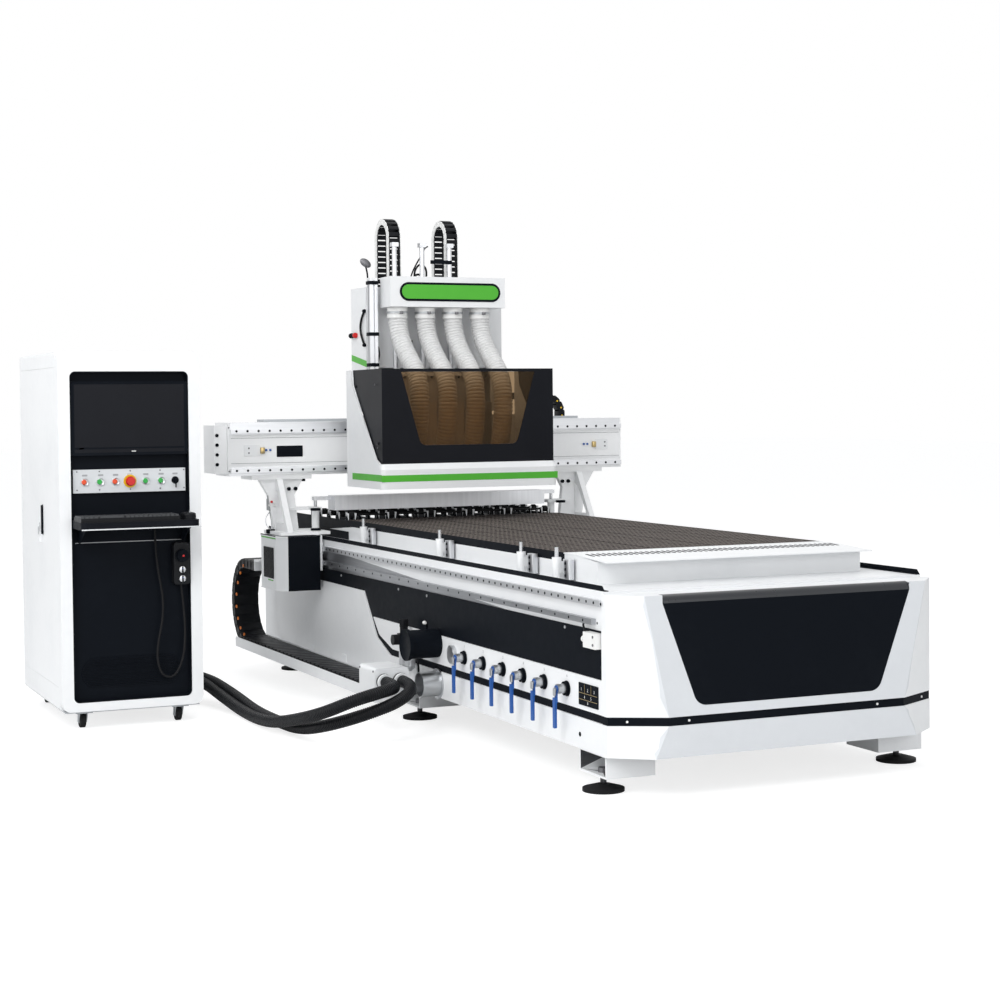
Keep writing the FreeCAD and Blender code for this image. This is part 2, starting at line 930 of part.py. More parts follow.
def stripe():
    front = -front_bulge + stripe_inset
    depth = frame_front - fit
    half = fold_low_half - stripe_inset
    low = plan(half, front, stripe_bottom + fit, depth, stripe_inset)
    high = plan(half, front, stripe_top - fit, depth, stripe_inset)
    wall = casing_wall
    inner_low = plan(half - wall, front + wall, stripe_bottom + fit, depth + overrun,
                     stripe_inset + wall)
    inner_high = plan(half - wall, front + wall, stripe_top - fit, depth + overrun,
                      stripe_inset + wall)
    return between(low, high).cut(between(inner_low, inner_high))


def ledge():
    """Angled dust strip that stands along the deck edge."""
    z0 = casing_top + deck_thickness
    rear = bed_length - frame_front
    upright = plate("x", side_face - ledge_sheet, side_face,
                    [(frame_front, z0), (rear, z0), (rear, z0 + ledge_height),
                     (frame_front + ledge_height, z0 + ledge_height)])
    shelf = block(side_face - ledge_shelf, side_face - ledge_sheet, frame_front, rear, z0,
                  z0 + ledge_sheet)
    return fused([upright, shelf])


def bed_dark_trim():
    backing = slab("x", side_face, skin_back, frame_front, bed_length - skin, skirt_bottom,
                   band_top)
    sign = slab("x", -skin_front - ledge_sheet, -skin_front, zone_plate_front, zone_plate_rear,
                zone_plate_bottom, zone_plate_top, ledge_sheet)
    return pack(both_sides([backing, ledge()]) + [sign, front_panel(), stripe()])


# table
def lip():
    """Perforated lip that carries finished parts off the front of the table."""
    top = table_top
    side = [(table_front, top - lip_sheet), (table_front, top), (lip_flat_front, top),
            (lip_front, top - lip_drop), (lip_front, top - lip_drop - lip_sheet),
            (lip_flat_front, top - lip_sheet)]
    half = table_half_width + lip_sheet
    sheet = plate("x", -half, half, side)
    slots = []
    for x in spread(-half + lip_hole_length * 2, half - lip_hole_length * 2, lip_hole_count):
        slots.append(block(x - lip_hole_width / 2, x + lip_hole_width / 2,
                           lip_hole_y - lip_hole_length, lip_hole_y, top - lip_sheet - overrun,
                           top + overrun))
    return sheet.cut(Part.makeCompound(slots))


def table_base():
    floor = casing_top + deck_thickness
    under = table_top - table_plate
    half = table_half_width
    inner = half - side_plate
    plates = [block(inner, half, table_front, white_plate_rear, floor, under),
              block(inner, half, white_plate_rear, infeed_rear, floor, under - fit),
              block(inner, half, table_rear + fit, infeed_rear, floor, infeed_plate_top)]
    plates = both_sides(plates)
    for y in spread(table_front, table_rear - side_plate, rib_count):
        plates.append(block(-inner, inner, y, y + side_plate, floor, under))
    for y in spread(table_rear + rib_count * side_plate, infeed_rear - side_plate, 2):
        plates.append(block(-inner, inner, y, y + side_plate, floor, infeed_deck_z))
    plates.append(block(-half, half, table_rear, infeed_rear, infeed_deck_z,
                        infeed_deck_z + infeed_deck))
    front_top = table_top - lip_drop - lip_sheet - fit
    box = block(-half, half, lip_box_front, table_front, floor, front_top)
    box = box.cut(block(-inner, inner, lip_box_front + side_plate, table_front + overrun,
                        floor - overrun, front_top - side_plate))
    edge_rise = plate("x", -half, -inner, [(lip_box_front, front_top), (table_front, front_top),
                                           (table_front, table_top - lip_sheet),
                                           (lip_flat_front, table_top - lip_sheet)])
    solids = [fused(plates + [box] + both_sides([edge_rise])), lip()]
    deck_top = infeed_deck_z + infeed_deck
    first, last = table_rear + rib_count, infeed_rear - rib_count
    for x in wheel_xs:
        strips = [block(x - strip_width / 2, x + strip_width / 2, first, last, deck_top,
                        deck_top + strip_height)]
        for y in wheel_ys:
            for side in (-1, 1):
                edge = x + side * (wheel_width / 2 + axle_bearing_width / 2 + fit + overrun)
                z0, z1 = deck_top + strip_height, wheel_axle_z + axle_bearing_height / 2
                half_w = axle_bearing_width / 2
                strips.append(block(edge - half_w, edge + half_w, y - axle_bearing_height / 2,
                                    y + axle_bearing_height / 2, deck_top, z1))
        body = fused(strips)
        bores = [rod(wheel_axle_radius + fit, (x - strip_width, y, wheel_axle_z),
                     (x + strip_width, y, wheel_axle_z)) for y in wheel_ys]
        solids.append(body.cut(Part.makeCompound(bores)))
    for y in pin_ys:
        solids.append(pin_body(y))
    return pack(solids)


def pin_body(y):
    """Small pneumatic cylinder on the table side with its clamp plate."""
    x = -pin_x
    tube = rod(pin_body_radius, (x, y, pin_body_bottom), (x, y, pin_body_top))
    clamp = block(x, -table_half_width, y - pin_body_radius, y + pin_body_radius,
                  pin_body_bottom + pin_body_radius, table_top - table_plate - fit)
    flange = block(-table_half_width - side_plate, -table_half_width, y - pin_body_depth,
                   y + pin_body_depth, pin_body_bottom, table_top - table_plate - fit)
    bore = rod(pin_radius + fit, (x, y, pin_body_bottom + pin_radius), (x, y, pin_body_top + overrun))
    return fused([tube, clamp, flange]).cut(bore)


def vacuum_grid():
    """Slotted table plate in six zones inside a dark border."""
    half = table_half_width
    z0, z1 = table_top - table_plate, table_top
    board = block(-half, half, table_front, table_rear, z0, z1)
    grooves = []
    inner = half - table_frame_border
    first, last = table_front + table_frame_border, table_rear - table_frame_border
    for x in spread(-inner, inner, groove_columns + 1):
        grooves.append(block(x - groove_width / 2, x + groove_width / 2, first, last,
                             z1 - groove_depth, z1 + overrun))
    for y in spread(first, last, groove_rows + 1):
        grooves.append(block(-inner, inner, y - groove_width / 2, y + groove_width / 2,
                             z1 - groove_depth, z1 + overrun))
    cutter = grooves[0].multiFuse(grooves[1:])
    return board.cut(cutter)


def infeed_wheels(y):
    """One station: an axle across the table with a rubber wheel in each row."""
    ends = wheel_xs[-1] + strip_width / 2
    pieces = [rod(wheel_axle_radius, (-ends, y, wheel_axle_z), (ends, y, wheel_axle_z))]
    half = wheel_width / 2
    for x in wheel_xs:
        tyre = [(wheel_axle_radius - seam, -half), (wheel_radius - wheel_edge, -half),
                (wheel_radius, -half + wheel_edge), (wheel_radius, half - wheel_edge),
                (wheel_radius - wheel_edge, half), (wheel_axle_radius - seam, half)]
        pieces.append(turned(tyre, (x, y, wheel_axle_z), (1, 0, 0)))
    return fused(pieces)


def stop_pins():
    pins = []
    for y in pin_ys:
        low = pin_body_bottom + pin_radius + pin_travel + overrun
        pins.append(rod(pin_radius, (-pin_x, y, low), (-pin_x, y, table_top + pin_rise)))
    return pack(pins)


# air and vacuum
def ring_face(x, y, z, radius, depth):
    return rod(radius, (x, y, z), (x - depth, y, z))


def air_fittings():
    solids = []
    x = -skin_front
    for y in valve_ys:
        boss = ring_face(x, y, valve_z, valve_boss_radius, valve_boss_depth)
        body = ring_face(x - valve_boss_depth, y, valve_z, valve_body_radius, valve_body_depth)
        stem_x = x - valve_boss_depth - valve_body_depth
        stem = ring_face(stem_x, y, valve_z, valve_stem_radius, valve_stem_depth)
        solids.append(fused([boss, body, stem]))
    case = ring_face(x, gauge_y, valve_z, gauge_radius, gauge_depth)
    dial = ring_face(x - gauge_depth + gauge_dial_depth, gauge_y, valve_z,
                     gauge_radius - gauge_rim, gauge_depth)
    solids.append(case.cut(dial))
    drum = turned([(0, 0), (drum_radius, 0), (drum_radius, drum_length - drum_rim_length),
                   (drum_radius + drum_rim, drum_length - drum_rim_length),
                   (drum_radius + drum_rim, drum_length), (drum_radius - drum_rim, drum_length),
                   (drum_radius - drum_rim, drum_length - drum_rim), (0, drum_length - drum_rim)],
                  (x, drum_y, drum_z), (-1, 0, 0))
    solids.append(drum)
    spigot = pipe_piece(port_radius, port_radius - port_wall, (x, port_y, port_z),
                        (x - port_length, port_y, port_z))
    flange = pipe_piece(port_radius + drum_rim_length, port_radius - port_wall,
                        (x, port_y, port_z), (x - drum_rim, port_y, port_z))
    solids.append(fused([spigot, flange]))
    solids.append(air_unit(x))
    box = block(x - limit_box_depth, -skin_back, limit_box_front,
                limit_box_front + limit_box_length, limit_box_bottom,
                limit_box_bottom + limit_box_height)
    roller = rod(air_bowl_tip / 2, (x - limit_box_depth / 2, limit_box_front + limit_box_length,
                                    limit_box_bottom + limit_box_height / 2),
                 (x - limit_box_depth / 2, limit_box_front + limit_box_length + air_bowl_tip,
                  limit_box_bottom + limit_box_height / 2))
    solids.append(fused([box, roller]))
    return pack(solids)


def air_unit(x):
    """Filter, regulator and lubricator on one bracket."""
    pieces = []
    centre_x = x - air_block_depth / 2 - air_bowl_tip
    z0, z1 = air_block_z, air_block_z + air_block_height
    for i in range(2):
        y = air_y + air_spacing * i
        pieces.append(block(centre_x - air_block_depth / 2, centre_x + air_block_depth / 2,
                            y - air_block_width / 2, y + air_block_width / 2, z0, z1))
        bowl = turned([(0, 0), (air_bowl_radius, 0),
                       (air_bowl_radius, -air_bowl_length),
                       (air_bowl_tip / 2, -air_bowl_length - air_bowl_tip),
                       (0, -air_bowl_length - air_bowl_tip)], (centre_x, y, z0), (0, 0, 1))
        pieces.append(bowl)
    pieces.append(rod(air_knob_radius, (centre_x, air_y + air_spacing, z1),
                      (centre_x, air_y + air_spacing, z1 + air_knob_height)))
    pieces.append(rod(air_side_knob_radius, (centre_x, air_y + air_spacing, z0 + air_block_height / 2),
                      (centre_x - air_block_depth / 2 - air_side_knob_length,
                       air_y + air_spacing, z0 + air_block_height / 2)))
    pieces.append(block(centre_x - air_block_depth / 2, centre_x + air_block_depth / 2,
                        air_y, air_y + air_spacing, z0 + air_bowl_tip, z1 - air_bowl_tip))
    pieces.append(block(centre_x, x, air_y - air_bowl_tip, air_y + air_spacing + air_bowl_tip,
                        z1 - air_bowl_tip, z1))
    return fused(pieces)


def valve_handle(y):
    """Lever handle that hangs down, with a dipped grip; it turns a quarter about X."""
    x = -skin_front - valve_boss_depth - valve_body_depth - fit
    hub_x = x - valve_handle_sheet
    half = valve_handle_width / 2
    hub = rod(valve_handle_hub, (x, y, valve_z), (hub_x, y, valve_z))
    neck_z = valve_z - valve_handle_length + valve_grip_length
    arm = block(hub_x, x, y - half, y + half, neck_z, valve_z)
    grip = slab("x", hub_x - valve_grip_depth, hub_x, y - half, y + half,
                valve_z - valve_handle_length, neck_z + half, half / 2)
    lap = block(hub_x, x, y - half, y + half, neck_z - half, neck_z)
    bore = rod(valve_stem_radius + fit, (x + overrun, y, valve_z),
               (hub_x - valve_grip_depth - overrun, y, valve_z))
    return fused([hub, arm, lap, grip]).cut(bore)


# gantry
def gantry_beam():
    """Box beam with two rails on its front, a drive cover on its left end."""
    half = beam_half_length
    beam = block(-half, half, beam_front, beam_rear, beam_bottom, beam_top)
    beam = beam.cut(block(-half - overrun, half + overrun, beam_front + beam_wall,
                          beam_rear - beam_wall, beam_bottom + beam_wall, beam_top - beam_wall))
    grooves = []
    for z in (beam_rail_upper - beam_rail_width, beam_rail_lower + beam_rail_width):
        grooves.append(block(-half - overrun, half + overrun, beam_front - overrun,
                             beam_front + beam_groove_depth, z - beam_groove / 2,
                             z + beam_groove / 2))
    beam = beam.cut(Part.makeCompound(grooves))
    rails = []
    for z in (beam_rail_upper, beam_rail_lower):
        rail = rail_bar(-half, half, 0, 0, beam_rail_width, beam_rail_height)
        rail.rotate(V(0, 0, 0), V(0, 0, 1), -90)
        rail.translate(V(0, beam_front, z))
        rails.append(rail)
    flange = block(-half - cap_flange, -half, beam_front, beam_rear, beam_bottom, beam_top)
    cover = slab("x", -half - cap_length, -half - cap_flange, beam_front + cap_inset,
                 beam_rear - cap_inset, beam_bottom + cap_drop, beam_top - cap_drop)
    plug = block(half, half + cap_flange / 2, beam_front, beam_rear, beam_bottom, beam_top)
    mid_y = beam_rear - top_tray_depth / 2 - cap_inset
    tray = block(-top_tray_half, top_tray_half, mid_y - top_tray_depth / 2,
                 mid_y + top_tray_depth / 2, beam_top, beam_top + top_tray_height)
    shelf_y0, shelf_y1 = beam_rear, beam_rear + xchain_gap + xchain_width + overrun
    shelf_z = xchain_bend_z - xchain_radius - xchain_height / 2 - fit
    shelf = block(xchain_fixed_x, beam_half_length, shelf_y0, shelf_y1, shelf_z - tray_sheet,
                  shelf_z)
    stop = block(xchain_fixed_x - tray_sheet, xchain_fixed_x, shelf_y0, shelf_y1,
                 shelf_z - tray_sheet, shelf_z + xchain_height)
    return pack([fused([beam, tray, shelf, stop])] + rails + [flange, cover, plug])


def portal_leg():
    """Cast leg on the right side: head flange, cross web, rib with a three-sided window."""
    flange_low = beam_bottom - leg_flange_thickness
    web_front = beam_front + cap_inset
    web_rear = web_front + leg_web_thickness
    flange = block(leg_flange_inner, leg_flange_outer, beam_front, beam_front + leg_flange_depth,
                   flange_low, beam_bottom)
    web = plate("y", web_front, web_rear,
                [(leg_web_outer, flange_low), (leg_waist_outer, leg_waist_z),
                 (leg_foot_outer, leg_foot_z), (leg_foot_inner, leg_foot_z),
                 (leg_waist_inner, leg_waist_z), (leg_web_inner, flange_low)])
    side = [(rib_foot_front, leg_foot_z), (rib_foot_rear, leg_foot_z),
            (rib_foot_rear, flange_low), (rib_head_front, flange_low)]
    rib = plate("x", rib_x - rib_thickness / 2, rib_x + rib_thickness / 2, side)
    mid = V(rib_x, sum(p[0] for p in side) / len(side), sum(p[1] for p in side) / len(side))
    hole = []
    for y, z in ((rib_foot_front, leg_foot_z), (web_front, leg_foot_z), (web_front, flange_low)):
        hole.append((y + (mid.y - y) * rib_hole_share, z + (mid.z - z) * rib_hole_share))
    rib = rib.cut(plate("x", rib_x - rib_thickness, rib_x + rib_thickness, hole,
                        rib_thickness / 3))
    foot_plate = block(leg_foot_plate_inner, leg_foot_outer + rib_thickness, rib_foot_front,
                       rib_foot_rear, leg_foot_z - leg_foot_plate, leg_foot_z)
    clamp_z = lift_top
    bracket = block(lift_x - lift_clamp, leg_foot_inner + rib_thickness * 2, lift_y + lift_radius + lift_clamp / 2,
                    web_front + leg_web_thickness, clamp_z - lift_clamp, clamp_z)
    ring = block(lift_x - lift_radius - lift_clamp / 2, lift_x + lift_radius + lift_clamp / 2,
                 lift_y - lift_radius - lift_clamp / 2, lift_y + lift_radius + lift_clamp / 2,
                 clamp_z - lift_clamp, clamp_z)
    cylinder = rod(lift_radius, (lift_x, lift_y, leg_foot_z), (lift_x, lift_y, lift_top))
    bore = rod(lift_rod_radius + fit, (lift_x, lift_y, leg_foot_z + lift_clamp),
               (lift_x, lift_y, lift_top + overrun))
    casting = fused([flange, web, rib, foot_plate, bracket, ring, cylinder])
    return casting.cut(bore)


def gantry_columns():
    left = mirrored(portal_leg())
    x = -rib_x - rib_thickness / 2
    y = (rib_head_front + rib_foot_rear) / 2
    box = block(x - button_box_depth, x, y - button_box_width / 2, y + button_box_width / 2,
                button_box_z, button_box_z + button_box_height)
    return pack([portal_leg(), left, box])


def drive_housing(side):
    """Motor housing outside the guideway; side is 1 on the right and -1 on the left."""
    body = [(drive_inner_x, drive_front), (drive_corner_x, drive_front),
            (drive_outer_x, drive_chamfer_y), (drive_outer_x, drive_rear),
            (drive_inner_x, drive_rear)]
    lid = drive_lid_lap
    wide = [(drive_inner_x, drive_front - lid), (drive_corner_x + lid / 2, drive_front - lid),
            (drive_outer_x + lid, drive_chamfer_y - lid / 2), (drive_outer_x + lid, drive_rear),
            (drive_inner_x, drive_rear)]
    cap_z = drive_top
    box = plate("z", drive_bottom, cap_z, body)
    top = plate("z", cap_z - drive_lid, cap_z, wide)
    base = plate("z", drive_bottom, drive_bottom + drive_lid, wide)
    vent = block(drive_outer_x, drive_outer_x + vent_sheet, vent_front, vent_rear, vent_bottom,
                 vent_top)
    housing = fused([box, top, base, vent])
    wall = shuttle_plate
    shuttle = block(drive_inner_x - wall, drive_inner_x, shuttle_front, shuttle_rear,
                    shuttle_bottom, leg_foot_z - leg_foot_plate)
    blocks = []
    face = side_face + overrun
    for y in (shuttle_front + block_inset, shuttle_rear - block_inset - block_length):
        shoe = block(face, drive_inner_x - wall, y, y + block_length,
                     rail_z - block_height / 2, rail_z + block_height / 2)
        half = rail_width / 2 + fit
        channel = block(side_face, rail_face + fit, y - overrun, y + block_length + overrun,
                        rail_z - half, rail_z + half)
        blocks.append(shoe.cut(channel))
    carrier = fused([shuttle] + blocks)
    return [housing, carrier]


def drive_housings():
    solids = []
    for piece in drive_housing(1):
        solids.append(piece)
        solids.append(mirrored(piece))
    arm_x0, arm_x1 = ychain_x0, ychain_x1
    arm = block(arm_x0, arm_x1, drive_rear, ychain_top_front, ychain_top_z + ychain_height + fit,
                ychain_top_z + ychain_height + fit + chain_arm_thickness)
    end = block(arm_x0, arm_x1, ychain_top_front - chain_arm_thickness, ychain_top_front - fit,
                ychain_top_z, ychain_top_z + ychain_height + fit)
    solids.append(fused([arm, end]))
    return pack(solids)


def ychain_bend():
    """Half turn of the side chain, with a notch at every joint."""
    rad, half = ychain_radius, ychain_height / 2
    centre = V(ychain_x0, ychain_bend_y, ychain_mid_z)
    ring = rod(rad + half, (ychain_x0, centre.y, centre.z), (ychain_x1, centre.y, centre.z))
    ring = ring.cut(rod(rad - half, (ychain_x0 - overrun, centre.y, centre.z),
                        (ychain_x1 + overrun, centre.y, centre.z)))
    ring = ring.cut(block(ychain_x0 - overrun, ychain_x1 + overrun, centre.y - 2 * rad,
                          centre.y, centre.z - 2 * rad, centre.z + 2 * rad))
    links = int(math.pi * rad / ychain_link)
    cuts = []
    for i in range(1, links):
        angle = -math.pi / 2 + math.pi * i / links
        out = V(0, math.cos(angle), math.sin(angle))
        for reach in (rad + half, rad - half):
            at = centre + out * reach
            notch = block(-overrun, ychain_width + overrun, -ychain_waist / 2,
                          ychain_waist / 2, -ychain_waist / 2, ychain_waist / 2)
            notch.rotate(V(0, 0, 0), V(1, 0, 0), math.degrees(angle))
            notch.translate(at)
            cuts.append(notch)
    return ring.cut(Part.makeCompound(cuts))


def ychain_runs():
    low_links = int((ychain_bend_y - tray_front) / ychain_link)
    high_links = max(2, int((ychain_bend_y - ychain_top_front) / ychain_link))
    lower = chain_bar("y", tray_front + fit, ychain_bend_y - fit, ychain_x0, ychain_x1,
                      ychain_low, ychain_low + ychain_height, low_links, ychain_waist)
    upper = chain_bar("y", ychain_top_front, ychain_bend_y - fit, ychain_x0, ychain_x1,
                      ychain_top_z, ychain_top_z + ychain_height, high_links, ychain_waist)
    return pack([lower, upper])


def sheet_pusher():
    """Hollow beam across the table with an arm and a lift rod at each end."""
    half = pusher_half_length
    y0, y1 = pusher_front, pusher_front + pusher_depth
    z0, z1 = pusher_bottom, pusher_bottom + pusher_height
    wall = pusher_wall
    beam = block(-half, half, y0, y1, z0, z1)
    beam = beam.cut(block(-half + wall, half - wall, y0 + wall, y1 - wall, z0 - overrun, z1 - wall))
    arm = block(half, lift_x + lift_rod_radius + wall, lift_y - lift_radius, lift_y + lift_radius,
                pusher_arm_z, pusher_arm_z + pusher_arm_height)
    low = leg_foot_z + lift_clamp + pusher_arm_height
    stem = rod(lift_rod_radius, (lift_x, lift_y, low), (lift_x, lift_y, pusher_arm_z + pusher_arm_height / 2))
    side = fused([arm, stem])
    return fused([beam, side, mirrored(side)])


# chain behind the beam
def xchain():
    y0 = beam_rear + xchain_gap
    y1 = y0 + xchain_width
    rad, half = xchain_radius, xchain_height / 2
    z = xchain_bend_z
    ring = rod(rad + half, (xchain_bend_x, y0, z), (xchain_bend_x, y1, z))
    ring = ring.cut(rod(rad - half, (xchain_bend_x, y0 - overrun, z),
                        (xchain_bend_x, y1 + overrun, z)))
    ring = ring.cut(block(xchain_bend_x - 2 * rad, xchain_bend_x, y0 - overrun, y1 + overrun,
                          z - 2 * rad, z + 2 * rad))
    lower = block(xchain_fixed_x, xchain_bend_x, y0, y1, z - rad - half, z - rad + half)
    upper = block(xchain_carried_x, xchain_bend_x, y0, y1, z + rad - half, z + rad + half)
    return fused([ring, lower, upper])


# head carriage
def carriage():
    y0, y1 = carriage_front, rail_front_face - fit
    face = block(head_x - carriage_half, head_x + carriage_half, y0, y1, carriage_bottom,
                 carriage_top)
    pieces = [face]
    half = carriage_block_length / 2
    for z in (beam_rail_upper, beam_rail_lower):
        for side in (-1, 1):
            x = head_x + side * carriage_block_x
            shoe = block(x - half, x + half, y1, beam_front - overrun,
                         z - carriage_block_height / 2, z + carriage_block_height / 2)
            channel = block(x - half - overrun, x + half + overrun, y1, beam_front,
                            z - beam_rail_width / 2 - fit, z + beam_rail_width / 2 + fit)
            pieces.append(shoe.cut(channel))
    body = fused(pieces)
    guides = []
    for side in (-1, 1):
        x = head_x + side * slide_rail_x
        guides.append(block(x - slide_rail_width / 2, x + slide_rail_width / 2,
                            y0 - slide_rail_depth, y0, carriage_bottom, carriage_top))
    return pack([body] + guides)


def cover_plan(half, front, z, rear, corner):
    left, right = head_x - half, head_x + half
    points = [V(left, rear, z), V(left, front, z), V(right, front, z), V(right, rear, z)]
    return outline(points, [0, corner, corner, 0])


def head_cover():
    """White shroud: a belt round the foot, a shoulder, and two raked side cheeks."""
    sheet = cover_sheet
    shoulder = cover_shoulder_inset
    half, front, rear = cover_half, cover_front, cover_rear
    corner = cover_corner
    belt = Part.Face(cover_plan(half, front, cover_bottom, rear, corner))
    belt = belt.extrude(V(0, 0, cover_shoulder - cover_bottom))
    hip = between(cover_plan(half, front, cover_shoulder, rear, corner),
                  cover_plan(half, front + shoulder, cover_belt, rear, corner))
    inside = Part.Face(cover_plan(half - sheet, front + sheet, floor_z + floor_sheet,
                                  rear + overrun, corner - sheet))
    inside = inside.extrude(V(0, 0, cover_shoulder - floor_z - floor_sheet))
    inside_hip = between(cover_plan(half - sheet, front + sheet, cover_shoulder, rear + overrun,
                                    corner - sheet),
                         cover_plan(half - sheet, front + shoulder + sheet, cover_belt + overrun,
                                    rear + overrun, corner - sheet))
    under = Part.Face(cover_plan(half - sheet, front + sheet, cover_bottom - overrun,
                                 rear - sheet, corner - sheet))
    under = under.extrude(V(0, 0, floor_z - cover_bottom + overrun))
    tub = fused([belt, hip]).cut(inside).cut(inside_hip).cut(under)
    holes = [block(x - floor_slot_half, x + floor_slot_half, spindle_y - floor_slot_half,
                   rear + overrun, cover_bottom - overrun, cover_shoulder) for x in spindle_xs]
    tub = tub.cut(Part.makeCompound(holes))
    cheek = [(rear, cover_belt), (rear, cover_top), (screen_side_rear, cover_top),
             (screen_side_rear - screen_inset, screen_side_knee),
             (screen_side_toe, cover_belt + shoulder), (front + shoulder, cover_belt)]
    cheeks = []
    for side in (-1, 1):
        x = head_x + side * half
        cheeks.append(plate("x", x, x - side * sheet, cheek))
    ties = []
    for side in (-1, 1):
        x = head_x + side * carriage_half
        x_out = head_x + side * (half - sheet)
        ties.append(block(x - side * tie_width, x_out, rear - sheet, rear, floor_z, carriage_top))
        ties.append(block(x - side * tie_width, x, rear - overrun, carriage_front,
                          carriage_bottom + post_width, carriage_top - post_width))
    return fused([tub] + cheeks + ties)


def head_screen():
    """Black wrap-round screen with the opening for the tinted pane."""
    half = cover_half - screen_inset
    sheet = screen_sheet
    front = cover_front + cover_shoulder_inset + fit
    x0, x1 = head_x - half, head_x + half
    z0 = cover_belt + fit
    face = block(x0, x1, front, front + sheet, z0, cover_top)
    opening = window_outline(fit)
    face = face.cut(plate("y", front - overrun, front + sheet + overrun, opening,
                          [0, window_corner, window_corner, 0]))
    wing = [(front, z0), (front, cover_top), (screen_side_rear, cover_top),
            (screen_side_rear - screen_inset, screen_side_knee), (screen_side_toe, z0)]
    wings = [plate("x", x0, x0 + sheet, wing), plate("x", x1 - sheet, x1, wing)]
    edge = block(x0, x1, front, front + sheet * 2, cover_top - sheet * 2, cover_top)
    edge = edge.cut(block(head_x - window_top_half - fit, head_x + window_top_half + fit,
                          front - overrun, front + sheet * 2 + overrun, z0, window_top + fit))
    lugs = []
    for side in (-1, 1):
        x = head_x + side * (half - sheet)
        outer = head_x + side * (cover_half - cover_sheet)
        for z in (screen_side_knee, cover_belt + post_width):
            y = screen_side_rear - screen_inset * 3 if z == screen_side_knee else screen_side_toe
            lugs.append(block(x, outer - side * fit, y - screen_inset, y, z - screen_inset, z))
    return fused([face, edge] + wings + lugs)


def window_outline(gap):
    return [(head_x - window_top_half - gap, window_top + gap),
            (head_x - window_foot_half - gap, window_foot - gap),
            (head_x + window_foot_half + gap, window_foot - gap),
            (head_x + window_top_half + gap, window_top + gap)]


def head_window():
    front = cover_front + cover_shoulder_inset + fit
    return plate("y", front, front + window_sheet, window_outline(0),
                 [0, window_corner, window_corner, 0])


def dust_manifold():
    """Box that the four hoses leave, held to the housing by two bridges."""
    wall = manifold_wall
    x0, x1 = head_x - manifold_half, head_x + manifold_half
    y0, y1 = manifold_front, manifold_front + manifold_depth
    box = block(x0, x1, y0, y1, manifold_bottom, manifold_top)
    box = box.cut(block(x0 + wall, x1 - wall, y0 + wall, y1 - wall, manifold_bottom + wall,
                        manifold_top - wall))
    mouths = [rod(hose_bore, (x, hose_y, manifold_bottom - overrun),
                  (x, hose_y, manifold_bottom + wall + overrun)) for x in hose_xs]
    box = box.cut(Part.makeCompound(mouths))
    bridges = []
    for x in (x0 + post_size, x1 - post_size):
        bridges.append(block(x - post_size / 2, x + post_size / 2, y1, housing_front,
                             bridge_z, bridge_z + bridge_height))
    return fused([box] + bridges)


def head_housing():
    """Tall housing behind the manifold, with its feet, arm and slotted post."""
    shell = block(head_x - housing_half, head_x + housing_half, housing_front, housing_rear,
                  housing_bottom, housing_top)
    w = housing_wall
    shell = shell.cut(block(head_x - housing_half + w, head_x + housing_half - w,
                            housing_front + w, housing_rear - w, housing_bottom - overrun,
                            housing_top - w))
    shell = shell.cut(block(head_x - slide_half - fit, head_x + slide_half + fit,
                            housing_front - overrun, housing_front + w + overrun,
                            housing_bottom - overrun, slide_top + post_size))
    feet = []
    foot_low = carriage_top
    for side in (-1, 1):
        x = head_x + side * (carriage_half - post_size)
        feet.append(block(x - post_size / 2, x + post_size / 2, carriage_front + overrun,
                          rail_front_face - fit, foot_low, housing_top - w))
    arm_y1 = beam_rear + xchain_gap + xchain_width
    top_z = xchain_bend_z + xchain_radius + xchain_height / 2
    arm_low = top_z - xchain_height
    arm_x0 = xchain_carried_x - post_size * 2
    arm = block(arm_x0, xchain_carried_x - fit, housing_rear, arm_y1, arm_low, top_z)
    post = slotted_post()
    post_tie = block(post_x - post_size / 4, head_x - housing_half + post_size, post_y + post_size / 2 - overrun,
                     housing_front, bridge_z - bridge_height, bridge_z)
    return fused([shell, arm] + feet + [post_tie, post])


def slotted_post():
    half = post_size / 2
    post = block(post_x - half, post_x + half, post_y - half, post_y + half, post_bottom, post_top)
    slots = []
    for dx, dy in ((1, 0), (-1, 0), (0, 1), (0, -1)):
        cx, cy = post_x + dx * half, post_y + dy * half
        reach_x = post_slot / 2 if dx == 0 else post_slot
        reach_y = post_slot / 2 if dy == 0 else post_slot
        slots.append(block(cx - reach_x, cx + reach_x, cy - reach_y, cy + reach_y,
                           post_bottom - overrun, post_top + overrun))
    post = post.cut(Part.makeCompound(slots))
    cap = block(post_x - half, post_x + half, post_y - half, post_y + half, post_top,
                post_top + post_cap)
    return fused([post, cap])


def hose_points(i):
    """Route of one dust hose from the manifold down to the floor of the shroud."""
    x0, x1 = hose_xs[i], spindle_xs[i]
    return [(x0, hose_y, manifold_bottom), (x0, hose_y, 1850.0),
            (x0 + 16.0, hose_y - 68.0, 1730.0), (x0 + 42.0, hose_y - 178.0, 1610.0),
            (x1 + 8.0, hose_y - 225.0, 1480.0), (x1 + 4.0, hose_y - 215.0, 1350.0),
            (x1 + 1.0, hose_y - 184.0, 1250.0), (x1, hose_y - 146.0, 1146.0),
            (x1, hose_y - 146.0, floor_z + floor_sheet)]


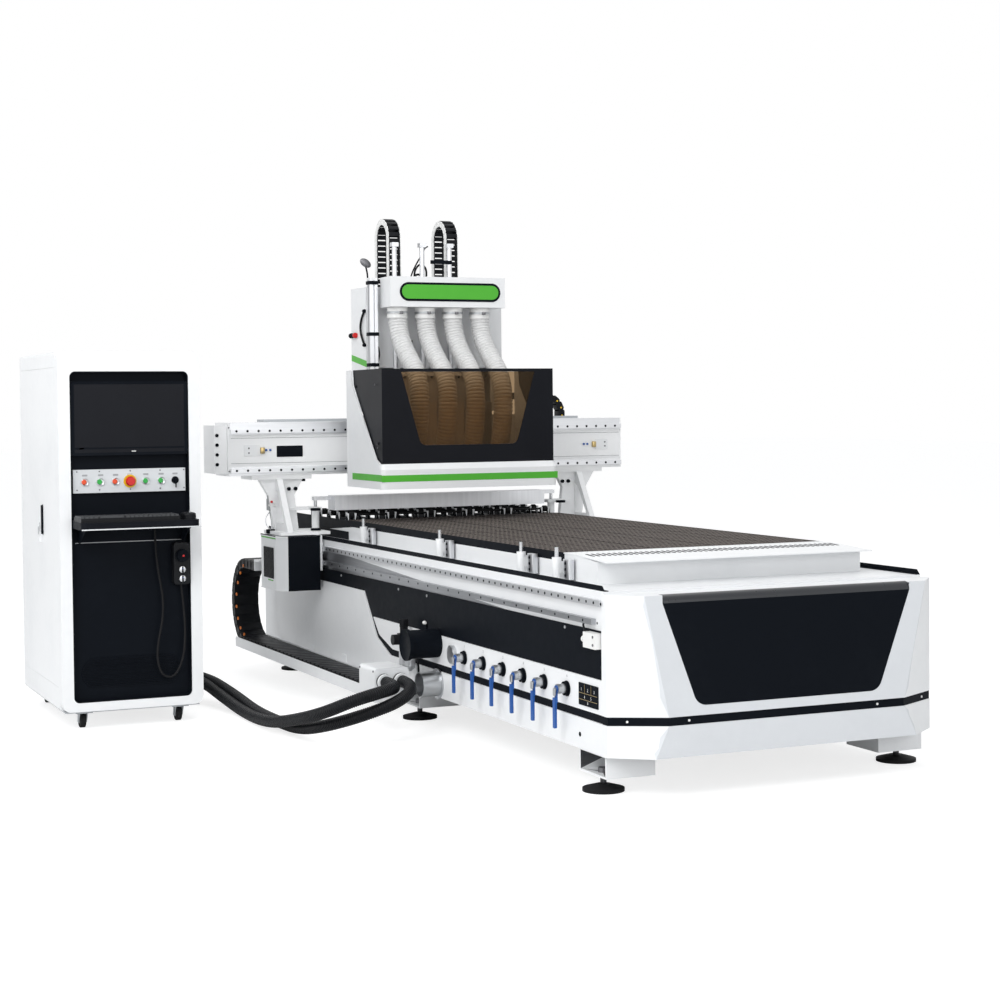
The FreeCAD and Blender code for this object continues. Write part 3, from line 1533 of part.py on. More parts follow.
def hose(i):
    """Ribbed hose: ribs are a ruled loft through four circles each, on a steady X axis."""
    path, radii = route(hose_points(i))
    length = path.Length
    collar = hose_collar_height
    at = [(0, hose_collar), (collar, hose_collar), (collar + seam, hose_root)]
    pitch = (length - 2 * (2 * hose_root + collar)) / hose_rib_count
    first = 2 * hose_root + collar
    for n in range(hose_rib_count):
        start = first + pitch * n
        quarter = pitch / 4
        at += [(start, hose_root), (start + quarter, hose_radius),
               (start + 2 * quarter, hose_radius), (start + 3 * quarter, hose_root)]
    at += [(length - collar - seam, hose_root), (length - collar, hose_collar), (length, hose_collar)]
    rings, bores = [], []
    for place, radius in at:
        rings.append(ring_on(path, place, radius))
        bores.append(ring_on(path, place, hose_bore))
    bores[0].translate(V(0, 0, overrun))
    bores[-1].translate(V(0, 0, -overrun))
    outer = Part.makeLoft(rings, True, True)
    inner = Part.makeLoft(bores[::3] + [bores[-1]], True, True)
    return outer.cut(inner), radii, length


def ring_on(path, place, radius):
    """Circle square to a path at a distance along it, its start kept on the X side."""
    left = place
    edge = path.OrderedEdges[-1]
    for candidate in path.OrderedEdges:
        edge = candidate
        if left <= candidate.Length:
            break
        left -= candidate.Length
    else:
        left = edge.Length
    at = edge.getParameterByLength(left)
    centre, heading = edge.valueAt(at), edge.tangentAt(at)
    if edge.Orientation == "Reversed":
        at = edge.getParameterByLength(edge.Length - left)
        centre, heading = edge.valueAt(at), edge.tangentAt(at) * -1
    side = V(1, 0, 0) - heading * heading.x
    turn = FreeCAD.Rotation(side.normalize(), heading.cross(side), heading, "ZXY")
    circle = Part.makeCircle(radius)
    circle.Placement = FreeCAD.Placement(centre, turn)
    return Part.Wire(circle)


def dust_hoses():
    hoses = []
    for i in range(spindle_count):
        shape, radii, length = hose(i)
        hoses.append(shape)
        print("hose", i + 1, "length", round(length), "radii", [round(r) for r in radii])
    return pack(hoses)


slide_rear = carriage_front - slide_rail_depth - slide_gap
slide_front = slide_rear - slide_plate


def vertical_slide():
    """Plate on two guides, with a guide for each spindle and the spindle cylinders."""
    pieces = [block(head_x - slide_half, head_x + slide_half, slide_front, slide_rear,
                    slide_bottom, slide_top)]
    low = carriage_bottom + slide_travel + slide_gap
    high = carriage_top - slide_gap * 2 - slide_block_height
    for side in (-1, 1):
        x = head_x + side * slide_rail_x
        for z in (low, high):
            shoe = block(x - slide_block_half, x + slide_block_half, slide_rear,
                         carriage_front - slide_gap, z, z + slide_block_height)
            channel = block(x - slide_rail_width / 2 - fit, x + slide_rail_width / 2 + fit,
                            slide_rear + slide_gap - fit, carriage_front, z - overrun,
                            z + slide_block_height + overrun)
            pieces.append(shoe.cut(channel))
    for x in spindle_xs:
        pieces.append(block(x - slide_rail_width / 2, x + slide_rail_width / 2,
                            slide_front - guide_depth, slide_front, slide_bottom, slide_top))
    shelf_top = slide_top + cylinder_bracket
    y0 = cylinder_y - cylinder_head
    pieces.append(block(spindle_xs[0] - cylinder_head, spindle_xs[-1] + cylinder_head, y0,
                        slide_rear, slide_top, shelf_top))
    bores = []
    for x in spindle_xs[:cylinder_count]:
        pieces.append(rod(cylinder_radius, (x, cylinder_y, shelf_top), (x, cylinder_y, cylinder_top)))
        for z in (shelf_top, cylinder_top - cylinder_head_height):
            pieces.append(block(x - cylinder_head, x + cylinder_head, cylinder_y - cylinder_head,
                                cylinder_y + cylinder_head, z, z + cylinder_head_height))
        bores.append(rod(rod_radius + fit, (x, cylinder_y, slide_top - overrun),
                         (x, cylinder_y, shelf_top + cylinder_bore)))
    x = spindle_xs[-1]
    bores.append(rod(rod_radius + fit, (x, cylinder_y, slide_top - overrun),
                     (x, cylinder_y, shelf_top + overrun)))
    return fused(pieces).cut(Part.makeCompound(bores))


def spindle(i):
    """Square spindle body with its nose, its slide shoe and the cylinder rod."""
    x, y = spindle_xs[i], spindle_y
    half = spindle_side / 2
    body = slab("z", spindle_bottom, spindle_top, x - half, x + half, y - half, y + half,
                spindle_corner)
    nose = rod(spindle_nose_radius, (x, y, spindle_bottom - spindle_nose), (x, y, spindle_bottom))
    shoe = block(x - guide_width / 2, x + guide_width / 2, y + half - overrun,
                 slide_front - fit, spindle_bottom + spindle_nose, spindle_top - spindle_nose)
    channel = block(x - slide_rail_width / 2 - fit, x + slide_rail_width / 2 + fit,
                    slide_front - guide_depth - fit, slide_front + overrun,
                    spindle_bottom, spindle_top)
    reach = slide_top + cylinder_bracket + spindle_travel
    if i >= cylinder_count:
        reach = slide_top + cylinder_bracket
    pull = rod(rod_radius, (x, cylinder_y, spindle_top - cylinder_bracket), (x, cylinder_y, reach))
    ear = block(x - cylinder_head, x + cylinder_head, y, cylinder_y + cylinder_head,
                spindle_top - cylinder_bracket, spindle_top)
    bore = rod(shaft_radius + fit, (x, y, spindle_bottom - spindle_nose - overrun),
               (x, y, spindle_bottom))
    return fused([body, nose, shoe.cut(channel), pull, ear]).cut(bore)


def tool_shaft(i):
    """Shaft, collet nut and cutter, turning about Z."""
    x, y = spindle_xs[i], spindle_y
    top = spindle_bottom - spindle_nose - collet_gap
    low = top - collet_length
    chamfer = collet_radius - tool_radius
    nut = turned([(0, 0), (collet_radius - chamfer / 2, 0), (collet_radius, chamfer),
                  (collet_radius, collet_length), (0, collet_length)], (x, y, low), (0, 0, 1))
    shaft = rod(shaft_radius, (x, y, top), (x, y, spindle_bottom - collet_gap))
    cutter = rod(tool_radius, (x, y, low - tool_length), (x, y, low))
    return fused([nut, shaft, cutter])


def zchains():
    """Two upright drag chains that stand on the housing, bent over at the top."""
    chains = []
    rad, half = zchain_radius, zchain_height / 2
    mid_z = zchain_top - rad - half
    for offset in zchain_offsets:
        x0 = head_x + offset - zchain_width / 2
        x1 = x0 + zchain_width
        ring = rod(rad + half, (x0, zchain_y, mid_z), (x1, zchain_y, mid_z))
        ring = ring.cut(rod(rad - half, (x0 - overrun, zchain_y, mid_z),
                            (x1 + overrun, zchain_y, mid_z)))
        ring = ring.cut(block(x0 - overrun, x1 + overrun, zchain_y - 2 * rad,
                              zchain_y + 2 * rad, mid_z - 2 * rad, mid_z))
        legs = [block(x0, x1, zchain_y + side * rad - half, zchain_y + side * rad + half,
                      housing_top, mid_z) for side in (-1, 1)]
        chains.append(fused([ring] + legs))
    return pack(chains)


# cabinet
def cabinet_shell():
    x0, x1 = cabinet_x - cabinet_half, cabinet_x + cabinet_half
    y0, y1 = cabinet_front, cabinet_front + cabinet_depth
    z0, z1 = cabinet_bottom, cabinet_top
    frame = slab("y", y0, y0 + cabinet_frame_depth, x0, x1, z0, z1, cabinet_round)
    body = slab("y", y0 + cabinet_frame_depth, y1, x0, x1, z0, z1, door_return)
    wall = cabinet_wall
    room = block(x0 + wall, x1 - wall, fascia_y + fascia_sheet, y1 - wall, z0 + wall, z1 - wall)
    mouth = slab("y", y0 - overrun, fascia_y + fascia_sheet + overrun, cabinet_x - fascia_half,
                 cabinet_x + fascia_half, fascia_bottom, fascia_top, fascia_round)
    side = block(x0 - overrun, x0 + wall + overrun, door_front_y, door_rear_y, door_bottom,
                 door_top)
    shell = fused([frame, body]).cut(room).cut(mouth).cut(side)
    plate_x = x1 - wall
    shell_in = [block(plate_x - mount_plate, plate_x, door_front_y, door_rear_y, door_bottom,
                      door_top)]
    zs = spread(door_bottom + drive_unit_height / 2, door_top - drive_unit_height * 2,
                drive_unit_count)
    for z in zs:
        shell_in.append(block(plate_x - mount_plate - drive_unit_depth, plate_x - mount_plate,
                              door_rear_y - drive_unit_height * 2,
                              door_rear_y - drive_unit_height * 2 + drive_unit_width, z,
                              z + drive_unit_height))
    base = block(x0 + door_return, x1 - door_return, y0 + door_return, y1 - door_return,
                 z0 - base_plate, z0)
    gland = []
    for points in conduit_routes():
        first, second = V(*points[0]), V(*points[1])
        heading = (second - first).normalize()
        gland.append(rod(gland_radius, first - heading * conduit_elbow, first))
    forks = [caster_fork(cabinet_x + side * caster_x, y) for side in (-1, 1)
             for y in (caster_front_y, caster_rear_y)]
    return pack([fused([shell] + shell_in + gland)] + [base] + forks)


def caster_fork(x, y):
    z1 = cabinet_bottom - base_plate
    top = block(x - caster_plate_half, x + caster_plate_half, y - caster_plate_half,
                y + caster_plate_half, z1 - caster_plate, z1)
    cheeks = []
    reach = caster_width / 2 + caster_fork_gap
    wheel_y = y + caster_trail
    for side in (-1, 1):
        cheek = [(y - caster_fork_half, z1 - caster_plate), (y + caster_fork_half, z1 - caster_plate),
                 (wheel_y + caster_axle_radius * 2, caster_radius - caster_axle_radius * 2),
                 (wheel_y - caster_axle_radius * 2, caster_radius - caster_axle_radius * 2)]
        at = x + side * reach
        cheeks.append(plate("x", at, at + side * caster_fork_sheet, cheek))
    axle = rod(caster_axle_radius, (x - reach - caster_fork_sheet, wheel_y, caster_radius),
               (x + reach + caster_fork_sheet, wheel_y, caster_radius))
    return fused([top, axle] + cheeks)


def caster_wheels(y):
    """The two coaxial wheels of one end of the cabinet."""
    wheels = []
    half = caster_width / 2
    for side in (-1, 1):
        profile = [(caster_axle_radius + fit, -half), (caster_radius - caster_edge, -half),
                   (caster_radius, -half + caster_edge), (caster_radius, half - caster_edge),
                   (caster_radius - caster_edge, half), (caster_axle_radius + fit, half)]
        wheels.append(turned(profile, (cabinet_x + side * caster_x, y + caster_trail,
                                       caster_radius), (1, 0, 0)))
    return pack(wheels)


def cabinet_door():
    """Side door with folded edges, a flush handle and a key in its lock."""
    x0 = cabinet_x - cabinet_half
    gap = door_gap
    y0, y1, z0, z1 = door_front_y + gap, door_rear_y - gap, door_bottom + gap, door_top - gap
    tray = block(x0, x0 + door_return, y0, y1, z0, z1)
    w = door_sheet
    tray = tray.cut(block(x0 + w, x0 + door_return + overrun, y0 + w, y1 - w, z0 + w, z1 - w))
    grip = slab("x", x0 - handle_depth, x0, handle_y - handle_width / 2, handle_y + handle_width / 2,
                handle_bottom, handle_top, handle_width / 3)
    key_y = handle_y + handle_width * 2
    key = block(x0 - handle_depth, x0, key_y, key_y + key_sheet, handle_bottom - key_drop,
                handle_bottom)
    bow = rod(key_width / 2, (x0 - handle_depth / 2, key_y, handle_bottom - key_drop),
              (x0 - handle_depth / 2, key_y + key_sheet, handle_bottom - key_drop))
    lock = rod(key_width / 2, (x0, key_y, handle_bottom), (x0 - handle_depth, key_y, handle_bottom))
    return fused([tray, grip, key, bow, lock])


def cabinet_fascia():
    """Black recessed front: rim, panel and a louvred field near the foot."""
    half, gap = fascia_half - fit, fit
    y0, y1 = cabinet_front + casing_wall, fascia_y + fascia_sheet
    z0, z1 = fascia_bottom + gap, fascia_top - gap
    outer = slab("y", y0, y1, cabinet_x - half, cabinet_x + half, z0, z1, fascia_round - gap)
    w = fascia_sheet
    hollow = slab("y", y0 - overrun, fascia_y, cabinet_x - half + w, cabinet_x + half - w,
                  z0 + w, z1 - w, fascia_round - w)
    panel = outer.cut(hollow)
    low, high = louvre_z - louvre_half_height, louvre_z + louvre_half_height
    field = slab("y", fascia_y - louvre_depth, fascia_y, cabinet_x - louvre_half,
                 cabinet_x + louvre_half, low, high, louvre_half_height * 0.98)
    slots = []
    for z in spread(low + louvre_half_height / 2, high - louvre_half_height / 2, louvre_slot_count):
        slots.append(block(cabinet_x - louvre_half + louvre_half_height,
                           cabinet_x + louvre_half - louvre_half_height,
                           fascia_y - louvre_depth - overrun, y1 + overrun,
                           z - louvre_slot_height / 2, z + louvre_slot_height / 2))
    return fused([panel, field]).cut(Part.makeCompound(slots))


strip_face = fascia_y - strip_standoff - strip_sheet
button_xs = [cabinet_x + button_pitch * (i - 3) for i in range(7)]


def control_desk():
    """Button strip, keyboard shelf with its brackets, keyboard and mouse."""
    strip = block(cabinet_x - strip_half, cabinet_x + strip_half, strip_face, fascia_y,
                  strip_bottom, strip_top)
    room = button_travel + overrun
    cuts, rings = [], []
    for i, x in enumerate(button_xs):
        radius = button_radius
        if i == 3:
            radius = estop_neck_radius
            rings.append(rod(estop_ring_radius, (x, strip_face, button_z),
                             (x, strip_face - estop_ring_height, button_z)))
        elif i < 6:
            rings.append(rod(button_collar, (x, strip_face, button_z),
                             (x, strip_face - button_collar_height, button_z)))
        if i == 6:
            radius = key_switch_radius - button_collar_height
        depth = room if i != 3 else estop_travel + overrun
        cuts.append(rod(radius + fit, (x, strip_face - estop_length, button_z),
                        (x, strip_face + depth, button_z)))
    strip = fused([strip] + rings).cut(Part.makeCompound(cuts))
    shelf_left = cabinet_x - fascia_half + fascia_sheet + 2 * fit
    shelf = slab("z", shelf_top - shelf_thickness, shelf_top, shelf_left,
                 cabinet_x + shelf_half - seam * 3, shelf_front, fascia_y,
                 [shelf_round, shelf_round, 0, 0])
    bracket = []
    under = shelf_top - shelf_thickness
    for side in (-1, 1):
        x = cabinet_x + side * (shelf_half - shelf_bracket / 2)
        gusset = [(fascia_y, under), (fascia_y, under - shelf_bracket),
                  (fascia_y - shelf_bracket / 2, under - shelf_bracket),
                  (shelf_front + shelf_bracket, under)]
        bracket.append(plate("x", x, x + shelf_bracket_sheet, gusset))
    for x in spread(cabinet_x - keyboard_half / 2, cabinet_x + keyboard_half, 3):
        bracket.append(rod(knob_radius, (x, shelf_front + shelf_bracket, under),
                           (x, shelf_front + shelf_bracket, under - knob_length)))
    desk = fused([shelf] + bracket)
    keys = block(keyboard_x - keyboard_half, keyboard_x + keyboard_half, keyboard_front,
                 keyboard_front + keyboard_depth, shelf_top, shelf_top + keyboard_height)
    rows = []
    depth = (keyboard_depth - 2 * keyboard_margin) / key_rows
    for i in range(key_rows):
        y = keyboard_front + keyboard_margin + depth * i
        rows.append(block(keyboard_x - keyboard_half + keyboard_margin,
                          keyboard_x + keyboard_half - keyboard_margin, y,
                          y + depth - key_row_gap, shelf_top + keyboard_height,
                          shelf_top + keyboard_height + key_block_height))
    mouse = slab("z", shelf_top, shelf_top + mouse_height, mouse_x - mouse_radius,
                 mouse_x + mouse_radius, keyboard_front, keyboard_front + mouse_length,
                 mouse_radius * 0.98)
    top_edges = [e for e in mouse.Edges if e.BoundBox.ZMin > shelf_top + mouse_height / 2]
    mouse = mouse.makeFillet(mouse_height / 3, top_edges)
    return pack([strip, desk, fused([keys] + rows), mouse])


def monitor():
    x0, x1 = cabinet_x - monitor_half, cabinet_x + monitor_half
    y0, y1 = fascia_y - monitor_depth, fascia_y
    body = block(x0, x1, y0, y1, monitor_bottom, monitor_top)
    b = monitor_bezel
    return body.cut(block(x0 + b, x1 - b, y0 - overrun, y0 + monitor_glass,
                          monitor_bottom + b * 2, monitor_top - b))


def push_button(i):
    x = button_xs[i]
    back = strip_face - fit
    return turned([(0, 0), (button_radius, 0), (button_radius, button_length - overrun),
                   (button_radius - overrun, button_length), (0, button_length)],
                  (x, back, button_z), (0, -1, 0))


def emergency_stop():
    x = button_xs[3]
    head = strip_face - estop_ring_height - estop_travel - fit
    cap = turned([(0, 0), (estop_radius, 0), (estop_radius, estop_length / 2),
                  (estop_radius * 0.8, estop_length * 0.8), (0, estop_length * 0.8)],
                 (x, head, button_z), (0, -1, 0))
    neck = rod(estop_neck_radius, (x, head, button_z), (x, strip_face, button_z))
    return fused([cap, neck])


def key_switch():
    x = button_xs[6]
    barrel = rod(key_switch_radius, (x, strip_face - fit, button_z),
                 (x, strip_face - fit - key_switch_depth, button_z))
    pivot = rod(key_switch_radius - button_collar_height, (x, strip_face - fit, button_z),
                (x, strip_face + button_travel, button_z))
    bow = block(x - key_sheet / 2, x + key_sheet / 2, strip_face - key_switch_depth * 3,
                strip_face - key_switch_depth, button_z - key_drop, button_z + key_width / 2)
    return fused([barrel, pivot, bow])


def pendant():
    """Hand pendant on its hanger, with two selector knobs."""
    x0, x1 = pendant_x - pendant_half, pendant_x + pendant_half
    y1 = pendant_front + pendant_depth
    body = slab("y", pendant_front, y1, x0, x1, pendant_bottom, pendant_top, pendant_round)
    hanger = block(pendant_x - pendant_half / 2, pendant_x + pendant_half / 2, y1, fascia_y,
                   pendant_top - pendant_half * 2, pendant_top - pendant_half)
    bore = rod(handwheel_grip + fit, (pendant_x, pendant_front - overrun, handwheel_z),
               (pendant_x, pendant_front + handwheel_thickness, handwheel_z))
    pieces = [body, hanger]
    for z in selector_zs:
        pieces.append(rod(selector_radius, (pendant_x, pendant_front, z),
                          (pendant_x, pendant_front - selector_height, z)))
        pieces.append(block(pendant_x - selector_height / 3, pendant_x + selector_height / 3,
                            pendant_front - selector_height * 2, pendant_front, z - selector_radius,
                            z + selector_radius))
    return fused(pieces).cut(bore)


def handwheel():
    back = pendant_front - fit
    disc = turned([(0, 0), (handwheel_radius, 0), (handwheel_radius, handwheel_thickness - seam),
                   (handwheel_radius - seam, handwheel_thickness), (0, handwheel_thickness)],
                  (pendant_x, back, handwheel_z), (0, -1, 0))
    hub = rod(handwheel_grip, (pendant_x, back, handwheel_z),
              (pendant_x, pendant_front + handwheel_thickness - overrun, handwheel_z))
    grip = rod(handwheel_grip, (pendant_x + handwheel_rim, back - handwheel_thickness,
                                handwheel_z - handwheel_rim / 2),
               (pendant_x + handwheel_rim, back - handwheel_thickness - handwheel_rim,
                handwheel_z - handwheel_rim / 2))
    return fused([disc, hub, grip])


# conduits on the floor and the cord of the pendant
def conduit_routes():
    """Centre lines of the two floor conduits, from the cabinet to the junction box."""
    left = [(-1554.0, 3078.0, 132.0), (-1450.0, 2974.0, 112.0), (-1400.0, 2720.0, 50.0),
            (-1398.0, 2380.0, 27.0), (-1396.0, 2060.0, 32.0), (-1385.0, 1790.0, 70.0),
            (-1340.0, 1440.0, 150.0), (-1222.0, 1352.0, 212.0), (-1076.0, 1365.0, 240.0),
            (gland_xs[0], 1472.0, gland_z), (gland_xs[0], gland_y, gland_z)]
    right = [(-1554.0, 3178.0, 140.0), (-1410.0, 3034.0, 118.0), (-1336.0, 2760.0, 56.0),
             (-1338.0, 2400.0, 27.0), (-1334.0, 2060.0, 27.0), (-1324.0, 1760.0, 36.0),
             (-1280.0, 1503.0, 89.0), (-1144.0, 1371.0, 149.0), (-1001.0, 1366.0, 194.0),
             (gland_xs[1], 1470.0, gland_z), (gland_xs[1], gland_y, gland_z)]
    return [left, right]


def cord_route():
    """Centre line of the pendant cord: down from the shelf, a loose loop, up to the pendant."""
    return [(-1802.0, 2412.0, shelf_top - shelf_thickness), (-1800.0, 2410.0, 800.0),
            (-1788.0, 2406.0, 690.0), (-1770.0, 2402.0, 590.0), (-1772.0, 2400.0, 484.0),
            (-1794.0, 2399.0, 390.0), (-1804.0, 2398.0, 300.0), (-1780.0, 2396.0, 222.0),
            (-1724.0, 2394.0, 212.0), (-1682.0, 2396.0, 288.0), (-1668.0, 2400.0, 400.0),
            (-1672.0, 2404.0, 520.0), (pendant_x, 2407.0, pendant_bottom)]


def free_line(name, points, radius):
    shape, radii, length = tube_along(points, radius)
    section = math.pi * radius * radius * length
    print(name, "length", round(length), "bend radii", [round(r) for r in radii],
          "volume share", round(shape.Volume / section, 3))
    return shape


# node table
def model():
    nodes = {
        "bed_frame": bed_frame(),
        "bed_casing": bed_casing(),
        "bed_dark_trim": bed_dark_trim(),
        "table_base": table_base(),
        "vacuum_grid": vacuum_grid(),
        "air_fittings": air_fittings(),
        "stop_pins": stop_pins(),
        "gantry_beam": gantry_beam(),
        "gantry_columns": gantry_columns(),
        "drive_housings": drive_housings(),
        "sheet_pusher": sheet_pusher(),
        "ychain_bend": ychain_bend(),
        "ychain_runs": ychain_runs(),
        "xchain": xchain(),
        "carriage": carriage(),
        "head_cover": head_cover(),
        "head_screen": head_screen(),
        "head_window": head_window(),
        "dust_manifold": dust_manifold(),
        "head_housing": head_housing(),
        "dust_hoses": dust_hoses(),
        "z_chains": zchains(),
        "z_slide": pack([vertical_slide(), spindle(spindle_count - 1)]),
        "cabinet_shell": cabinet_shell(),
        "cabinet_fascia": cabinet_fascia(),
        "cabinet_door": cabinet_door(),
        "control_desk": control_desk(),
        "monitor": monitor(),
        "pendant": pendant(),
        "handwheel": handwheel(),
        "estop": emergency_stop(),
        "key_switch": key_switch(),
        "caster_wheels_front": caster_wheels(caster_front_y),
        "caster_wheels_rear": caster_wheels(caster_rear_y),
        "pendant_cord": free_line("pendant cord", cord_route(), cord_radius),
    }
    for i, points in enumerate(conduit_routes()):
        nodes["conduit_" + str(i + 1)] = free_line("conduit " + str(i + 1), points,
                                                   conduit_radius)
    for i, y in enumerate(valve_ys):
        nodes["valve_handle_" + str(i + 1)] = valve_handle(y)
    for i, y in enumerate(wheel_ys):
        nodes["infeed_wheels_" + str(i + 1)] = infeed_wheels(y)
    for i in range(spindle_count - 1):
        nodes["spindle_" + str(i + 1)] = spindle(i)
    for i in range(spindle_count):
        nodes["tool_shaft_" + str(i + 1)] = tool_shaft(i)
    buttons = [i for i in range(len(button_xs)) if i not in (3, 6)]
    for number, i in enumerate(buttons):
        nodes["button_" + str(number + 1)] = push_button(i)
    return nodes


def origin_of(nodes):
    """Middle of the footprint on the floor, cords left out."""
    cords = ("conduit_1", "conduit_2", "pendant_cord")
    box = FreeCAD.BoundBox()
    for name, shape in nodes.items():
        if name not in cords:
            box.add(shape.BoundBox)
    return V((box.XMin + box.XMax) / 2, (box.YMin + box.YMax) / 2, box.ZMin)


def export(nodes, origin):
    os.makedirs("parts", exist_ok=True)
    for name, shape in nodes.items():
        placed = shape.copy()
        placed.translate(origin * -1)
        placed.exportStep("parts/" + name + ".step")
        print(name, len(placed.Solids), placed.isValid(), round(placed.Volume / 1000))


if __name__ == "__main__":
    pieces = model()
    corner = origin_of(pieces)
    print("origin", round(corner.x, 3), round(corner.y, 3), round(corner.z, 3))
    export(pieces, corner)
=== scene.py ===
# %% [markdown]
# # A nesting router for sheet boards, dressed in Blender
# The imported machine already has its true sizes. This file gives it paint, steel, rubber
# and glass, adds the small pieces that a maker screws on last, and lights it for one
# picture. Places are in millimetres of the machine: X along the gantry from the middle
# of the bed, Y from the unloading end to the infeed end, Z up from the floor.

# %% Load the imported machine
import math
import bpy
from mathutils import Matrix, Vector


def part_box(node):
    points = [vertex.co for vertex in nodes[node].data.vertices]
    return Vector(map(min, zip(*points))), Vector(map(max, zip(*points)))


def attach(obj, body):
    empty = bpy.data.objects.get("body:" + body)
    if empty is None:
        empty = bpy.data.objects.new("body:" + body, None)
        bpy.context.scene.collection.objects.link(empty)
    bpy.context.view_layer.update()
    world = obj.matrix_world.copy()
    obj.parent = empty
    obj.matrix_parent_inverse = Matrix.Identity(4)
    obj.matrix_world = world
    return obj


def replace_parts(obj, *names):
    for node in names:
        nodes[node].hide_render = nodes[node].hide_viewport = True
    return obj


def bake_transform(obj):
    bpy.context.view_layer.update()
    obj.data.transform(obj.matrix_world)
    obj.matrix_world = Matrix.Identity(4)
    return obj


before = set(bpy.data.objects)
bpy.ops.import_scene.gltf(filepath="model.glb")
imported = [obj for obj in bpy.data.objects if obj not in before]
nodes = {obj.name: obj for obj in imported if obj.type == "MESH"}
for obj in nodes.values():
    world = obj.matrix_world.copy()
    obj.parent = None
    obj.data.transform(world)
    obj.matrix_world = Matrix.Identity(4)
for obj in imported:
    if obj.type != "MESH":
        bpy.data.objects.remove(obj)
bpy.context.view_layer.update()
scene = bpy.context.scene
scene.view_settings.view_transform = "Standard"

# %% [markdown]
# The row's origin lies under the middle of the machine and its cabinet together, so one
# helper turns the machine's own millimetres into the row's metres, and one turns back.

# %% Places and sizes
MM = 0.001
ORIGIN_X, ORIGIN_Y = -548.0, 2073.0


def place(x, y, z):
    return Vector(((x - ORIGIN_X) * MM, (y - ORIGIN_Y) * MM, z * MM))


def extent(name):
    """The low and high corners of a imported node's box, in the machine's millimetres."""
    return [[v / MM + shift for v, shift in zip(corner, (ORIGIN_X, ORIGIN_Y, 0))]
            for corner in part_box(name)]


def spread(first, last, count):
    return [first + (last - first) * i / (count - 1) for i in range(count)]


# %% [markdown]
# The camera stands low at the front left corner, as a photographer would who wants the
# whole bed and the head in one frame. A long lens keeps the far end of the bed large.

# %% Camera
CAMERA_AT = (-3895.7, -6197.5, 1446.8)
CAMERA_YAW, CAMERA_PITCH, CAMERA_ROLL = 23.984, -1.5, -0.567
FOCAL_SHARE, SENSOR, LENS_SHIFT = 1.9037, 36.0, -0.0444

yaw, pitch, roll = (math.radians(a) for a in (CAMERA_YAW, CAMERA_PITCH, CAMERA_ROLL))
forward = Vector((math.sin(yaw) * math.cos(pitch), math.cos(yaw) * math.cos(pitch),
                  math.sin(pitch)))
level = forward.cross(Vector((0, 0, 1))).normalized()
upright = level.cross(forward)
right = level * math.cos(roll) + upright * math.sin(roll)
above = upright * math.cos(roll) - level * math.sin(roll)
lens = bpy.data.cameras.new("camera")
lens.sensor_width = SENSOR
lens.lens = SENSOR * FOCAL_SHARE
lens.shift_y = LENS_SHIFT
lens.clip_end = 200
camera = bpy.data.objects.new("camera", lens)
scene.collection.objects.link(camera)
turn = Matrix((right, above, -forward)).transposed().to_4x4()
camera.matrix_world = Matrix.Translation(place(*CAMERA_AT)) @ turn
scene.camera = camera

# %% [markdown]
# Shader maths reads best as Python. A small class wraps a socket, so that noise * 0.2 adds
# the Math node that it means. Colours go through Mix nodes instead.


# %% Shader expressions
def plug(tree, value, slot):
    """Links a socket to a slot, or sets the slot to a number, a vector or a colour."""
    value = getattr(value, "socket", value)
    if isinstance(value, bpy.types.NodeSocket):
        tree.links.new(value, slot)
    elif isinstance(value, tuple):
        slot.default_value = (*value, 1.0)[:len(slot.default_value)]
    else:
        slot.default_value = value


class Socket:
    """A value inside a material; sums and products on it add Math nodes."""

    def __init__(self, tree, socket):
        self.tree = tree
        self.socket = socket

    def math(self, operation, other=0.0):
        node = self.tree.nodes.new("ShaderNodeMath")
        node.operation = operation
        plug(self.tree, self, node.inputs[0])
        plug(self.tree, other, node.inputs[1])
        return Socket(self.tree, node.outputs[0])

    def __add__(self, other):
        return self.math("ADD", other)

    def __sub__(self, other):
        return self.math("SUBTRACT", other)

    def __mul__(self, other):
        return self.math("MULTIPLY", other)

    __radd__ = __add__

    def over(self, edge):
        return self.math("GREATER_THAN", edge)

    def wrapped(self, period):
        return self.math("FLOORED_MODULO", period)

    def clear(self):
        node = self.math("ADD", 0.0)
        node.socket.node.use_clamp = True
        return node


class Finish:
    """A material with its Principled shader and short ways to add nodes."""

    def __init__(self, name, colour, rough, metal=0.0, gloss=0.5):
        self.material = bpy.data.materials.new(name)
        self.material.use_nodes = True
        self.tree = self.material.node_tree
        self.shader = self.tree.nodes["Principled BSDF"]
        self.at = self.tree.nodes.new("ShaderNodeTexCoord").outputs["Object"]
        for key, value in (("Base Color", colour), ("Roughness", rough), ("Metallic", metal),
                           ("Specular IOR Level", gloss)):
            self.feed(key, value)

    def feed(self, name, value):
        plug(self.tree, value, self.shader.inputs[name])

    def node(self, kind, output, **inputs):
        made = self.tree.nodes.new(kind)
        for key, value in inputs.items():
            plug(self.tree, value, made.inputs[key])
        return Socket(self.tree, made.outputs[output])

    def axis(self, name):
        return self.node("ShaderNodeSeparateXYZ", name, Vector=self.at)

    def stretched(self, scale):
        return self.node("ShaderNodeMapping", "Vector", Vector=self.at, Scale=scale)

    def noise(self, scale, detail=3.0, where=None):
        return self.node("ShaderNodeTexNoise", "Fac", Vector=where or self.at, Scale=scale,
                         Detail=detail)

    def mix(self, share, first, second):
        made = self.tree.nodes.new("ShaderNodeMix")
        made.data_type = "RGBA"
        for index, value in ((0, share), (6, first), (7, second)):
            plug(self.tree, value, made.inputs[index])
        return Socket(self.tree, made.outputs[2])

    def bump(self, height, depth, strength):
        self.feed("Normal", self.node("ShaderNodeBump", "Normal", Strength=strength,
                                      Distance=depth, Height=height))


